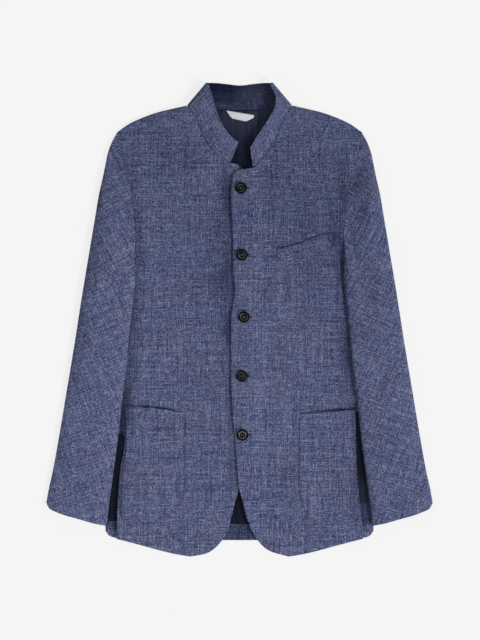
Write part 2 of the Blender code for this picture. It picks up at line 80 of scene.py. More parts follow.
# A row for each section down the body: inner edges of the right and left fronts, outer edge.
BODY = [
    # right_x, right_y, left_x, left_y, outer_x, outer_y
    (-91.4, 369.6, 91.4, 369.6, 210.5, 324.7),
    (-81.9, 357.5, 81.9, 357.5, 209.9, 317.0),
    (-73.3, 344.6, 73.3, 344.6, 208.4, 306.0),
    (-66.4, 325.6, 67.3, 325.6, 206.0, 293.0),
    (-57.8, 308.3, 59.5, 308.3, 201.7, 277.0),
    (-47.4, 292.8, 49.2, 291.1, 196.3, 258.0),
    (-33.6, 281.6, 37.1, 276.4, 190.3, 235.0),
    (-16.0, 270.9, 23.3, 262.3, 186.0, 208.0),
    (-5.2, 268.7, 9.5, 260.4, 183.6, 188.0),
    (4.5, 262.0, -3.5, 257.8, 181.8, 170.0),
    (11.2, 253.1, -10.0, 249.7, 180.2, 155.0),
    (16.4, 235.9, -12.9, 235.9, 179.6, 143.0),
    (18.1, 215.2, -14.7, 215.2, 179.8, 131.0),
    (17.4, 177.2, -13.8, 177.2, 181.1, 116.9),
    (14.7, 132.4, -11.2, 132.4, 185.1, 80.3),
    (13.8, 89.3, -10.7, 89.3, 189.3, 44.9),
    (13.8, 47.9, -7.8, 47.9, 193.7, 10.9),
    (18.1, -0.4, -14.7, -0.4, 198.7, -28.8),
    (18.1, -52.2, -14.7, -52.2, 202.9, -71.3),
    (18.1, -105.7, -14.7, -105.7, 208.2, -115.3),
    (15.9, -139.5, -12.9, -139.5, 211.3, -139.0),
    (14.7, -160.5, -12.3, -160.5, 213.9, -159.0),
    (12.7, -187.0, -9.7, -187.0, 216.1, -182.0),
    (10.9, -206.0, -7.2, -206.0, 217.9, -199.0),
    (8.8, -228.0, -5.7, -228.0, 219.9, -217.0),
    (5.2, -264.4, -3.5, -264.4, 223.2, -245.6),
    (-0.9, -292.8, -0.9, -290.2, 225.9, -268.9),
    (-7.8, -314.4, 4.3, -309.2, 227.5, -286.7),
    (-14.7, -343.7, 11.2, -336.8, 229.4, -310.7),
    (-23.3, -369.6, 18.6, -358.4, 230.8, -332.0),
    (-39.7, -392.0, 34.0, -384.0, 231.5, -350.4),
    (-57.8, -404.1, 52.0, -399.5, 231.8, -360.4),
    (-85.4, -409.6, 85.4, -409.6, 231.5, -365.3),
]
NECK_ROWS = 8
ARM_ROWS = 14
SHOULDER = [
    # x, y
    (91.4, 369.6), (113.9, 364.9), (137.1, 359.6), (168.2, 348.9), (190.6, 338.5), (210.5, 324.7),
]
FRONT_HEM = [
    # x, y
    (85.4, -409.6), (109.5, -405.5), (137.1, -398.9), (164.7, -391.0), (192.3, -383.4),
    (219.9, -375.6), (226.8, -372.2), (231.5, -365.3),
]
BACK_NECK = [
    # x, y
    (1.7, 359.2), (42.3, 361.4), (68.1, 365.2), (85.0, 368.8), (91.4, 369.2),
]
BACK_HEM = [
    # x, y
    (1.7, -381.0), (90.0, -380.4), (170.0, -378.2), (205.0, -378.4), (219.9, -375.9), (226.8, -372.3),
    (231.5, -365.3),
]
VENT = [
    # right_y, right_x, left_y, left_x
    (-186.0, 215.5, -139.0, 211.0),
    (-196.0, 202.5, -147.0, 204.5),
    (-202.0, 198.0, -158.0, 201.0),
    (-222.0, 199.5, -190.0, 200.8),
    (-259.0, 206.1, -259.0, 202.7),
    (-300.0, 209.3, -302.0, 206.1),
    (-337.0, 211.3, -340.0, 210.5),
    (-378.0, 212.5, -377.0, 213.5),
]
VENT_TOP = (-190.0, -150.0)
VENT_TURN = 4.0
SIDE_TURN = 24.0
HEM_TURN = [
    # x, y of the line where the lining ends and the hem turning starts
    (-232.0, -347.0), (-120.0, -352.0), (60.0, -353.0), (130.0, -336.0), (232.0, -313.0),
]
SLEEVE = [
    # outer_x, outer_y, inner_x, inner_y
    (210.5, 324.7, 181.1, 116.9),
    (219.9, 308.3, 181.0, 108.0),
    (227.7, 287.6, 180.6, 96.0),
    (232.0, 266.9, 180.3, 83.0),
    (236.3, 246.2, 180.3, 68.0),
    (243.2, 215.2, 182.5, 45.0),
    (248.4, 184.1, 185.3, 22.0),
    (258.8, 122.0, 189.9, -20.0),
    (272.6, 39.2, 194.9, -79.8),
    (285.5, -43.6, 203.0, -140.0),
    (299.3, -126.4, 209.9, -204.0),
    (313.1, -209.2, 218.5, -268.0),
    (322.6, -260.9, 224.2, -310.0),
    (329.5, -292.0, 227.3, -336.0),
    (333.8, -316.1, 229.8, -355.8),
]
CUFF = [
    # x, y
    (229.8, -355.8), (247.5, -352.3), (275.1, -344.6), (302.7, -336.8), (316.5, -331.6),
    (328.6, -325.6), (333.8, -316.1),
]
COLLAR_FRONT = [
    # right_x, right_y, left_x, left_y, rise
    (-47.3, 386.5, 63.0, 386.0, 8.0),
    (-43.2, 371.0, 61.8, 368.5, 8.0),
    (-37.8, 355.0, 55.0, 354.5, 7.6),
    (-31.5, 340.5, 47.6, 341.5, 7.0),
    (-23.8, 327.5, 38.8, 328.5, 6.0),
    (-13.8, 315.6, 29.0, 314.0, 4.8),
    (-1.2, 305.8, 18.8, 296.8, 3.6),
]
FOLD = [
    # seam_x, seam_y, top_x, top_y, top_z
    (86.4, 365.2, 53.5, 404.0, 14.0),
    (90.9, 370.6, 57.6, 409.6, 7.0),
    (84.6, 371.2, 50.5, 409.4, 0.0),
]
COLLAR_BACK = [
    # seam_x, seam_y, top_x, top_y
    (68.1, 366.0, 38.8, 409.0),
    (42.3, 362.2, 23.3, 407.4),
    (1.7, 360.0, 1.2, 404.9),
]
NECK_SEAM = [(1.7, 360.0), (42.3, 362.2), (68.1, 366.0), (84.0, 370.0), (91.4, 371.0)]

BUTTONS = [
    # x, y
    (2.6, 227.3), (4.3, 111.7), (7.8, 4.7), (4.3, -97.0), (5.2, -198.8),
]
BUTTON_PROFILE = [
    # radius, height
    (7.0, 0.0), (8.6, 0.25), (9.5, 0.9), (9.95, 1.7), (9.9, 2.4), (9.5, 3.0), (8.9, 3.32), (8.3, 3.36),
    (7.7, 3.2), (7.2, 2.85), (6.8, 2.62), (6.2, 2.52), (5.2, 2.46), (3.9, 2.42),
]
BUTTON_SIDES = 64
ARM_REACH = 1.25
HOLE_R = 1.0
HOLE_AT = 2.05
HOLE_RIM = 2.36
HOLE_FLOOR = 0.6
HOLE_SIDES = 16
STRAND = [
    # y, z
    (-1.75, 1.7), (-1.2, 2.55), (0.0, 2.78), (1.2, 2.55), (1.75, 1.7),
]
THREAD_R = 0.2
THREAD_SIDES = 8

POCKET_TOP = [
    # x, y of the right pocket's mouth, y of the left one's
    (90.0, -161.0, -163.4),
    (110.2, -157.9, -162.2),
    (128.0, -154.6, -160.9),
    (147.5, -152.0, -159.2),
    (165.0, -150.6, -157.4),
    (180.3, -149.6, -155.6),
    (215.0, -148.6, -154.0),
]
POCKET_SIDES = [
    # y, inner_x and outer_x of the right pocket, inner_x and outer_x of the left one
    (-160.0, 95.1, 202.0, 104.6, 197.5),
    (-190.0, 95.1, 196.0, 103.8, 196.8),
    (-225.0, 95.1, 196.0, 103.2, 197.5),
    (-260.0, 95.1, 202.0, 103.0, 199.0),
    (-285.1, 95.2, 203.5, 103.0, 201.0),
    (-303.0, 97.0, 204.5, 104.6, 202.0),
    (-318.0, 100.9, 205.0, 108.2, 203.0),
    (-330.0, 105.6, 205.0, 112.6, 203.5),
    (-338.5, 111.0, 204.0, 117.6, 202.5),
    (-344.5, 118.5, 201.0, 124.5, 199.5),
    (-348.4, 130.0, 192.0, 135.0, 190.0),
]
WELT = [
    # x, top_y, bottom_y
    (64.7, 122.2, 97.6),
    (88.0, 127.8, 104.0),
    (111.0, 135.4, 110.8),
    (134.0, 144.2, 117.6),
    (158.0, 150.8, 124.6),
]
LABEL = [
    # left_x, left_y, right_x, right_y
    (-23.0, 361.6, 25.0, 353.4),
    (-19.6, 356.4, 24.6, 349.4),
    (-16.0, 351.6, 17.6, 345.4),
    (-12.4, 347.6, 10.6, 342.4),
]

SINK = [
    # minus y, depth of the sunk strip beside the right front's button edge
    (-270.0, 0.8), (-220.0, 1.6), (-170.0, 1.4), (-110.0, 1.8), (-70.0, 2.2), (-20.0, 1.8), (30.0, 1.3),
    (70.0, 1.5), (120.0, 1.4), (170.0, 1.1), (220.0, 1.0), (270.0, 0.6), (330.0, 0.0), (420.0, 0.0),
]
RIGHT_PAINTED_SHADE = [
    # x, y, turn, length, width, depth: painted shade where the right front lies in shade, its colour painted
    # deeper
    (-20.5, 216.0, 94.0, 110.0, 10.0, 0.60),
    (-40.0, 66.0, 62.0, 100.0, 27.0, 0.22),
    (-22.0, 66.0, 90.0, 110.0, 13.0, 0.36),
    (-20.0, -16.0, 90.0, 100.0, 9.0, 0.55),
    (-38.0, 150.0, 100.0, 120.0, 18.0, 0.22),
    (-18.0, 132.0, 90.0, 130.0, 10.0, 0.28),
    (-32.0, -70.0, 112.0, 90.0, 6.0, 0.16),
    (-18.0, -125.0, 90.0, 130.0, 6.0, 0.30),
    (-14.0, -240.0, 92.0, 140.0, 6.0, 0.25),
    (-94.0, 286.0, 60.0, 80.0, 20.0, 0.16),
    (-190.0, 262.0, 84.0, 120.0, 14.0, 0.20),
    (-181.0, 172.0, 94.0, 160.0, 8.0, 0.34),
    (-140.0, 290.0, 20.0, 130.0, 40.0, 0.08),
    (-188.0, 30.0, 96.0, 160.0, 8.0, 0.28),
    (-190.0, -60.0, 97.0, 120.0, 10.0, 0.22),
    (-196.0, -125.0, 97.0, 110.0, 11.0, 0.50),
    (-201.0, -170.0, 96.0, 80.0, 10.0, 0.55),
    (-205.0, -198.0, 94.0, 80.0, 8.0, 0.50),
    (-160.0, -350.5, 1.0, 100.0, 2.0, 0.20),
]
SLEEVE_PAINTED_SHADE = [
    # x, y, turn, length, width, depth: the same for the sleeves
    (202.0, 236.0, 72.0, 110.0, 8.0, 0.38),
    (217.0, 196.0, 78.0, 90.0, 7.0, 0.22),
    (205.0, 296.0, 5.0, 60.0, 4.0, 0.22),
    (-204.0, 262.0, 80.0, 90.0, 10.0, 0.14),
    (-250.0, 200.0, 60.0, 80.0, 9.0, 0.08),
    (262.0, 60.0, 120.0, 90.0, 12.0, 0.10),
    (300.0, -80.0, 100.0, 120.0, 16.0, 0.10),
]
LEFT_PAINTED_SHADE = [
    # x, y, turn, length, width, depth: the same for the left front
    (88.0, 286.0, 60.0, 60.0, 7.0, 0.20),
    (58.0, 245.0, 45.0, 80.0, 17.0, 0.18),
    (56.0, 196.0, 90.0, 70.0, 12.0, 0.18),
    (140.0, 268.0, 120.0, 120.0, 28.0, 0.12),
    (181.0, 225.0, 96.0, 150.0, 9.0, 0.40),
    (118.0, 84.0, 10.0, 100.0, 30.0, 0.08),
    (110.0, 180.0, 100.0, 260.0, 70.0, 0.12),
    (177.0, 95.0, 97.0, 230.0, 17.0, 0.50),
    (187.0, -60.0, 97.0, 200.0, 17.0, 0.50),
    (199.0, -180.0, 96.0, 110.0, 10.0, 0.42),
    (203.0, -255.0, 84.0, 150.0, 8.0, 0.50),
    (209.0, -310.0, 84.0, 110.0, 10.0, 0.35),
    (86.0, -265.0, 30.0, 60.0, 9.0, 0.10),
]
# Soft troughs (depth below 0) and ridges (above 0): the middle, the run's direction in degrees
# from +X, its length, its width and its depth.
RIGHT_FOLDS = [
    # x, y, turn, length, width, depth
    (-32.0, 205.0, 84.0, 150.0, 15.0, -1.1),
    (-62.0, 200.0, 80.0, 150.0, 14.0, 0.9),
    (-34.0, 70.0, 96.0, 200.0, 17.0, -1.3),
    (-66.0, 60.0, 84.0, 120.0, 13.0, 0.9),
    (-36.0, -60.0, 100.0, 150.0, 13.0, -0.9),
    (-66.0, -80.0, 94.0, 130.0, 15.0, 0.7),
    (-92.0, 66.0, 64.0, 70.0, 13.0, -0.8),
    (-122.0, 150.0, 118.0, 120.0, 15.0, 0.7),
    (-152.0, 60.0, 104.0, 130.0, 14.0, -0.5),
    (-82.0, 250.0, 48.0, 90.0, 12.0, 0.5),
    (-140.0, 235.0, 35.0, 90.0, 18.0, 0.7),
    (-168.0, 190.0, 72.0, 90.0, 12.0, -0.8),
    (-150.0, -60.0, 84.0, 130.0, 18.0, 0.7),
    (-112.0, -90.0, 70.0, 90.0, 14.0, -0.5),
    (-60.0, -230.0, 98.0, 120.0, 15.0, 0.6),
    (-34.0, -250.0, 78.0, 110.0, 11.0, -0.6),
    (-75.0, -340.0, 70.0, 80.0, 13.0, -0.4),
]
LEFT_FOLDS = [
    (2.0, 60.0, 90.0, 420.0, 14.0, 0.7),
    (26.0, -40.0, 92.0, 300.0, 9.0, -0.5),
    (46.0, 182.0, 100.0, 90.0, 12.0, -0.9),
    (84.0, 262.0, 116.0, 90.0, 15.0, -1.0),
    (118.0, 250.0, 128.0, 100.0, 15.0, 0.8),
    (104.0, 196.0, 96.0, 70.0, 12.0, 0.6),
    (58.0, 60.0, 86.0, 150.0, 15.0, 0.7),
    (96.0, 20.0, 78.0, 120.0, 14.0, -0.7),
    (150.0, 50.0, 96.0, 140.0, 16.0, 0.6),
    (170.0, 200.0, 100.0, 90.0, 11.0, -0.8),
    (52.0, -70.0, 94.0, 120.0, 13.0, -0.6),
    (140.0, -70.0, 88.0, 110.0, 15.0, -0.6),
    (72.0, -240.0, 86.0, 120.0, 14.0, 0.7),
    (44.0, -270.0, 98.0, 110.0, 11.0, -0.5),
    (60.0, -340.0, 104.0, 90.0, 13.0, -0.4),
]
SLEEVE_FOLDS = [
    # x, y, turn, length, width, depth, on the left sleeve and mirrored with some shift on the right
    (206.0, 200.0, 74.0, 150.0, 12.0, -1.0),
    (222.0, 150.0, 98.0, 120.0, 10.0, 0.8),
    (214.0, 60.0, 112.0, 110.0, 11.0, -1.0),
    (238.0, 20.0, 84.0, 120.0, 13.0, 0.8),
    (226.0, -60.0, 110.0, 90.0, 10.0, -0.9),
    (262.0, -90.0, 92.0, 110.0, 13.0, -0.7),
    (236.0, -150.0, 120.0, 90.0, 11.0, 0.8),
    (278.0, -190.0, 100.0, 120.0, 14.0, -0.8),
    (250.0, -240.0, 94.0, 100.0, 12.0, 0.7),
    (292.0, -280.0, 104.0, 80.0, 12.0, 0.6),
    (256.0, -310.0, 108.0, 70.0, 10.0, -0.6),
    (200.0, 110.0, 128.0, 70.0, 9.0, -0.9),
    (216.0, 270.0, 60.0, 70.0, 11.0, 0.6),
    (222.0, 98.0, 118.0, 130.0, 9.0, 1.1),
    (240.0, 150.0, 110.0, 110.0, 8.0, -0.8),
    (250.0, 70.0, 122.0, 100.0, 10.0, 0.9),
]


def smooth(t):
    t = np.clip(t, 0.0, 1.0)
    return t * t * (3.0 - 2.0 * t)


def dome(t):
    t = np.clip(t, 0.0, 1.0)
    return np.sqrt(1.0 - (1.0 - t) ** 2)


def bell(t):
    return np.exp(-(t ** 2))


def turned(x, y, angle):
    """Plan coordinates along and across a direction, in radians from +X."""
    c, s = math.cos(angle), math.sin(angle)
    return x * c + y * s, -x * s + y * c


def table(rows):
    return np.array(rows, dtype=float)


def column(side, rows, right, left):
    """A table's column for the right front, or the one for the left."""
    return table(rows)[:, right if side < 0 else left]


def bend(x, xs, ys):
    """Smooth curve through table points that never overshoots them. xs rises."""
    h = np.diff(xs)
    d = np.diff(ys) / h
    m = np.zeros(len(xs))
    m[0], m[-1] = d[0], d[-1]
    for k in range(1, len(xs) - 1):
        if d[k - 1] * d[k] > 0:
            w1 = 2.0 * h[k] + h[k - 1]
            w2 = h[k] + 2.0 * h[k - 1]
            m[k] = (w1 + w2) / (w1 / d[k - 1] + w2 / d[k])
    x = np.clip(np.asarray(x, dtype=float), xs[0], xs[-1])
    k = np.clip(np.searchsorted(xs, x, side="right") - 1, 0, len(xs) - 2)
    t = (x - xs[k]) / h[k]
    a = (1.0 + 2.0 * t) * (1.0 - t) ** 2
    b = t * (1.0 - t) ** 2
    c = t * t * (3.0 - 2.0 * t)
    e = t * t * (t - 1.0)
    return a * ys[k] + b * h[k] * m[k] + c * ys[k + 1] + e * h[k] * m[k + 1]


def along(rows, x):
    rows = table(rows)
    order = np.argsort(rows[:, 0])
    return bend(x, rows[order, 0], rows[order, 1])


def spaced(rows, at):
    rows = table(rows)
    steps = np.arange(len(rows), dtype=float)
    return np.stack([bend(at, steps, rows[:, k]) for k in range(rows.shape[1])], 1)


def even(rows, pitch, ends):
    """Fractional row numbers at an even pitch along a table's line, with closer ones near both ends."""
    fine = np.linspace(0.0, len(rows) - 1.0, 40 * len(rows))
    line = spaced(rows, fine)
    run = np.concatenate([[0.0], np.cumsum(np.linalg.norm(np.diff(line, axis=0), axis=1))])
    count = max(2, int(round(run[-1] / pitch)))
    inner = np.linspace(0.0, run[-1], count + 1)
    ends = np.array(ends)
    inner = inner[(inner > ends[-1] * 1.3) & (inner < run[-1] - ends[-1] * 1.3)]
    return np.interp(np.concatenate([ends, inner, run[-1] - ends[::-1]]), run, fine)


def shares(length, pitch, ends):
    """Shares from 0 to 1 at an even pitch over a length, with closer ones near both ends."""
    ends = np.array(ends)
    inner = np.linspace(0.0, length, int(round(length / pitch)) + 1)
    inner = inner[(inner > ends[-1] * 1.3) & (inner < length - ends[-1] * 1.3)]
    return np.concatenate([ends, inner, length - ends[::-1]]) / length


def distance(x, y, line):
    p = np.stack([np.abs(x), y], -1)
    best = np.full(np.shape(x), 1e9)
    for a, b in zip(line[:-1], line[1:]):
        ab = b - a
        t = np.clip(((p - a) @ ab) / (ab @ ab), 0.0, 1.0)
        best = np.minimum(best, np.linalg.norm(p - a - t[..., None] * ab, axis=-1))
    return best


BODY_OUT = table(BODY)[:, 4:6]
ARM_LINE = spaced(BODY_OUT, np.linspace(0.0, ARM_ROWS - 1.0, 50))
SIDE_LINE = spaced(BODY_OUT, np.linspace(ARM_ROWS - 1.0, len(BODY) - 1.0, 60))
SHOULDER_LINE = spaced(SHOULDER, np.linspace(0.0, len(SHOULDER) - 1.0, 26))
NECK_POINT = (91.4, 369.6)


def front_height(x, y, lifted):
    x = np.asarray(x, dtype=float)
    y = np.asarray(y, dtype=float)
    side = distance(x, y, SIDE_LINE)
    top = distance(x, y, SHOULDER_LINE)
    arm = distance(x, y, ARM_LINE)
    neck = np.hypot(np.abs(x) - NECK_POINT[0], y - NECK_POINT[1])
    full = FRONT_TOP + SIDE_FULL * smooth((95.0 - side) / 75.0)
    full = full + ARM_FULL * smooth((45.0 - arm) / 45.0) * smooth((300.0 - y) / 60.0 + 0.4)
    full = full + NECK_FULL * smooth((62.0 - neck) / 55.0)
    past = along(BACK_HEM, np.abs(x)) - 8.0 - y
    full = full + (WALL + 0.15 - full) * smooth(past / HEM_DROP)
    edge = EDGE_TOP + NECK_FULL * smooth((40.0 - neck) / 40.0)
    edge = np.minimum(edge, full)
    low = 1.0 + (VALLEY - 1.0) * smooth((40.0 - y) / 120.0) * smooth((y + 300.0) / 60.0)
    z = edge + (full - edge) * smooth((side - low) / SIDE_ROLL) * dome(top / SHOULDER_ROLL)
    if lifted:
        z = z + OVERLAP_LIFT * smooth((OVERLAP_TO + OVERLAP_EASE - x) / OVERLAP_EASE)
    return z


def folds(x, y, rows, mirror=1.0):
    """Height of the soft folds at points in plan."""
    z = np.zeros(np.shape(x))
    for fx, fy, turn, length, width, depth in rows:
        u, v = turned(x * mirror - fx, y - fy, math.radians(turn))
        v = v + 0.12 * width * np.sin(u / length * 5.0 + fx)
        z += depth * bell(v / width) * smooth(1.0 - np.abs(u) / (0.62 * length))
    return z


def ripple(x, y):
    """Faint unevenness of washed linen."""
    waves = [
        # wavelength, turn, phase, height
        (61.0, 0.4, 0.3, 0.10), (47.0, 2.2, 1.7, 0.09), (83.0, 1.3, 4.1, 0.12), (33.0, 2.8, 2.2, 0.05),
        (28.0, 0.9, 5.0, 0.05), (39.0, 1.8, 0.9, 0.06), (21.0, 0.1, 3.3, 0.025), (19.0, 1.5, 1.1, 0.025),
    ]
    z = np.zeros(np.shape(x))
    for length, turn, phase, height in waves:
        u, w = turned(x, y, turn)
        z += height * np.sin(2.0 * math.pi * u / length + phase + 1.3 * np.sin(w / (0.8 * length)))
    return z


def body_detail(side, x, y):
    """Folds and unevenness of the fronts, faded out beside the seams and edges that hold them."""
    hold = smooth(distance(x, y, SIDE_LINE) / 30.0) * smooth(distance(x, y, SHOULDER_LINE) / 22.0)
    z = (folds(x, y, LEFT_FOLDS if side > 0 else RIGHT_FOLDS) + ripple(x, y)) * hold
    if side < 0:
        # Beside the button edge this front swells and then sinks under the other.
        z = z + along(SINK, -y) * (0.6 * smooth((x + 60.0) / 45.0) - 0.9 * smooth((x + 24.0) / 16.0))
    return z


def front_edge(side, rows):
    vent = table(VENT)[:, 0:2] if side < 0 else table(VENT)[:, 2:4]
    foot = along(FRONT_HEM, vent[-1, 1]) - rows[-1, 1]
    y = rows[:, 1] + foot * smooth((-250.0 - rows[:, 1]) / 115.3)
    x = np.where(y > vent[0, 0], 1000.0, bend(-y, -vent[:, 0], vent[:, 1]))
    return np.stack([side * np.minimum(rows[:, 0], x), y], 1)


def lining_edge(side, y):
    top = VENT_TOP[0] if side < 0 else VENT_TOP[1]
    turn = SIDE_TURN + (VENT_TURN - SIDE_TURN) * smooth((top - y) / 13.0)
    return np.interp(-y, -BODY_OUT[:, 1], BODY_OUT[:, 0]) - turn


def patch(inner, outer, top, bottom, across, down):
    across = np.asarray(across)
    u = across[None, :, None]
    grid = (1.0 - u) * inner[:, None] + u * outer[:, None]
    v = across[:, None]
    head = top - (1.0 - v) * inner[0] - v * outer[0]
    foot = bottom - (1.0 - v) * inner[-1] - v * outer[-1]
    grid += ((1.0 - down) ** 3)[:, None, None] * head[None] + (down ** 6)[:, None, None] * foot[None]
    return grid


def front_plan(side, at, across):
    rows = spaced(BODY, at)
    across = np.asarray(across, dtype=float)
    inner = rows[:, 0:2] if side < 0 else rows[:, 2:4]
    outer = front_edge(side, rows[:, 4:6])
    top_x = inner[0, 0] + across * (outer[0, 0] - inner[0, 0])
    top = np.stack([top_x, along(SHOULDER, np.abs(top_x))], 1)
    foot_x = inner[-1, 0] + across * (outer[-1, 0] - inner[-1, 0])
    foot = np.stack([foot_x, along(FRONT_HEM, np.abs(foot_x))], 1)
    return patch(inner, outer, top, foot, across, at / (len(BODY) - 1.0))


def back_plan(side, at, across):
    rows = spaced(BODY, at)
    across = np.asarray(across, dtype=float)
    outer = rows[:, 4:6] * (side, 1.0)
    start = CENTRE_X + side * 0.5 * SEAM
    top_x = start + across * (outer[0, 0] - start)
    reach = np.abs(top_x)
    head_y = np.where(reach < NECK_POINT[0], along(BACK_NECK, reach), along(SHOULDER, reach))
    foot_x = start + across * (outer[-1, 0] - start)
    foot = np.stack([foot_x, along(BACK_HEM, np.abs(foot_x))], 1)
    share = (outer[:, 1] - outer[0, 1]) / (outer[-1, 1] - outer[0, 1])
    inner = np.stack([np.full(len(rows), start), head_y[0] + share * (foot[0, 1] - head_y[0])], 1)
    top = np.stack([top_x, head_y], 1)
    return patch(inner, outer, top, foot, across, at / (len(BODY) - 1.0))


def sleeve_plan(side, at, across):
    rows = spaced(SLEEVE, at)
    fine = np.linspace(0.0, ARM_ROWS - 1.0, 800)
    line = spaced(BODY_OUT, fine)
    share = (line[0, 1] - line[:, 1]) / (line[0, 1] - line[-1, 1])
    arm = spaced(BODY_OUT, np.interp(across, share, fine)) + (ARM_SEAM, 0.0)
    outer = rows[:, 0:2].copy()
    inner = rows[:, 2:4].copy()
    outer[0] = arm[0]
    inner[0] = arm[-1]
    foot_x = outer[-1, 0] + across * (inner[-1, 0] - outer[-1, 0])
    foot = np.stack([foot_x, along(CUFF, foot_x)], 1)
    plan = patch(outer, inner, arm, foot, across, at / (len(SLEEVE) - 1.0))
    return plan * (side, 1.0)


def under_height(x, y):
    out = np.abs(x) - np.interp(-y, -SIDE_LINE[:, 1], SIDE_LINE[:, 0])
    away = distance(x, y, SIDE_LINE)
    within = (out < 0.0) & (y < SIDE_LINE[0, 1])
    ramp = smooth((CLIMB - away) / (CLIMB - 2.0))
    climb = np.where(within, front_height(x, y, False) + LIE, ramp * (EDGE_TOP + LIE))
    return WALL + climb


def sleeve_height(side, grid, across, at):
    x, y = grid[..., 0], grid[..., 1]
    under = under_height(x, y)
    rest = under + 0.25 + 0.8 * WALL
    down = at / (len(SLEEVE) - 1.0)
    reach = np.abs(y - y[0:1]) + 1e-6
    length = smooth(reach / SLEEVE_RISE)
    crown = SLEEVE_TOP + (CUFF_TOP - SLEEVE_TOP) * smooth((down - 0.45) / 0.5)[:, None]
    bulge = (1.0 - np.abs(2.0 * across - 1.0) ** 2.6) ** (1.0 / 2.2)
    edge = rest[:, :1] + (rest[:, -1:] - rest[:, :1]) * across[None, :]
    full = edge + (crown - edge) * bulge[None, :]
    if side > 0:
        detail = folds(x, y, SLEEVE_FOLDS)
    else:
        detail = folds(x + 7.0, y + 16.0, SLEEVE_FOLDS, -1.0)
    full = full + (detail + 1.6 * ripple(x, y)) * bulge[None, :] ** 2
    seam = front_height(x[0] - side * ARM_SEAM, y[0], side > 0)
    z = seam[None, :] + (full - seam[None, :]) * length
    return np.maximum(z, rest)


# Meshes

STITCH_WIDTH = 0.55


def add_vectors(mesh, name, values):
    made = mesh.attributes.new(name, "FLOAT_VECTOR", "POINT")
    made.data.foreach_set("vector", np.ascontiguousarray(values, dtype=np.float32).ravel())


def make_mesh(name, points, faces, weave, material, node=None, smooth_angle=50.0):
    mesh = bpy.data.meshes.new(name)
    mesh.from_pydata((np.asarray(points) * MM).tolist(), [], faces)
    add_vectors(mesh, "weave", np.asarray(weave) * MM)
    mesh.materials.append(material)
    mesh.shade_smooth()
    obj = bpy.data.objects.new(name, mesh)
    bpy.context.scene.collection.objects.link(obj)
    mesh.set_sharp_from_angle(angle=math.radians(smooth_angle))
    if node:
        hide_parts(*node)
    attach(obj, "root")
    return obj


def cloth(node, points, wall, material, weave, shade=None):
    """A grid of outer-face points as a wall whose thickness lies on its inner side."""
    rows, cols = points.shape[:2]
    base = (np.arange(rows - 1)[:, None] * cols + np.arange(cols - 1)[None, :]).ravel()
    quads = np.stack([base, base + cols, base + cols + 1, base + 1], 1)
    first = points[1, 0] - points[0, 0]
    second = points[0, 1] - points[0, 0]
    if first[0] * second[1] - first[1] * second[0] < 0:
        quads = quads[:, ::-1]
    flat = np.zeros((rows * cols, 3))
    flat[:, :2] = weave.reshape(-1, 2)
    # The shade array goes into the weave attribute's third number, where the material turns it into painted
    # shade.
    if shade is not None:
        flat[:, 2] = shade.ravel() / MM
    obj = make_mesh(node + "_cloth", points.reshape(-1, 3), quads.tolist(), flat, material, [node])
    shell = obj.modifiers.new("Wall", "SOLIDIFY")
    shell.thickness = wall * MM
    shell.offset = -1.0
    return obj


def edge_run(plan):
    """Each point's run in plan from its panel's first row, last row, first column and last column."""
    down = np.linalg.norm(np.diff(plan, axis=0), axis=-1)
    wide = np.linalg.norm(np.diff(plan, axis=1), axis=-1)
    zero_row = np.zeros((1, plan.shape[1]))
    zero_col = np.zeros((plan.shape[0], 1))
    top = np.concatenate([zero_row, np.cumsum(down, axis=0)], 0)
    left = np.concatenate([zero_col, np.cumsum(wide, axis=1)], 1)
    return top, top[-1:] - top, left, left[:, -1:] - left


def rolled(z, runs, depth, width):
    """Lowers a wall's outer face along the edges whose runs are given, as a turned edge does."""
    for run in runs:
        z = z - depth * (1.0 - dome(run / width))
    return z


def stitched(z, run, at, depth):
    """A shallow sewn line at a distance from an edge."""
    return z - depth * bell((run - at) / STITCH_WIDTH)


# Where the closer points near a panel's edge lie.
ENDS = [0.0, 0.35, 0.8, 1.4, 2.2]
# How a turned edge rounds down: depth and width.
EDGE_DEPTH = 0.75
EDGE_WIDTH = 1.6


def lay(node, plan, z, wall, material, weave=None, shade=None):
    """A sheet that lies flat, over one node of the solids."""
    weave = plan if weave is None else weave
    z = np.broadcast_to(z, plan.shape[:2])
    obj = cloth(node, np.concatenate([plan, z[..., None]], -1), wall, material, weave, shade)


def add_backs(material):
    at = even(BODY_OUT, 12.0, ENDS[:3])
    for side, name in ((1.0, "back_left"), (-1.0, "back_right")):
        plan = back_plan(side, at, shares(230.0, 12.0, ENDS[:3]))
        x, y = plan[..., 0], plan[..., 1]
        # Painted shade on the back where it shows inside the side vents.
        dark = 0.4 * smooth((np.abs(x) - 190.0) / 10.0) * smooth((-170.0 - y) / 20.0)
        dark = dark * smooth((y + 350.0) / 20.0)
        lay(name, plan, WALL, WALL, material, shade=dark)


def lining_plan():
    """Rows of the lining: the hem turning's line, the straight sides, then the shoulders and neck."""
    x = 2.0 * shares(437.0, 4.0, [0.0, 0.4, 1.0]) - 1.0
    rows = []
    reach = np.array([share * lining_edge(share, -320.0) for share in x])
    foot = along(HEM_TURN, reach)
    for share in np.linspace(0.0, 0.9, 8):
        rows.append(np.stack([reach, foot + share * (-300.0 - foot)], 1))
    for y in np.linspace(-300.0, 110.0, 90):
        xs = np.array([share * lining_edge(share, y) for share in x])
        rows.append(np.stack([xs, np.full(len(x), y)], 1))
    for share in np.linspace(0.02, 1.0, 60):
        edge = np.interp(-(110.0 + share * 195.0), -BODY_OUT[:, 1], BODY_OUT[:, 0]) - 9.0
        xs = x * edge
        reach = np.abs(xs)
        head = np.where(reach < NECK_POINT[0], along(NECK_SEAM, reach) + 1.0, along(SHOULDER, reach) - 9.0)
        head = np.minimum(head, 366.5)
        rows.append(np.stack([xs, 110.0 + share * (head - 110.0)], 1))
    return np.array(rows[::-1])


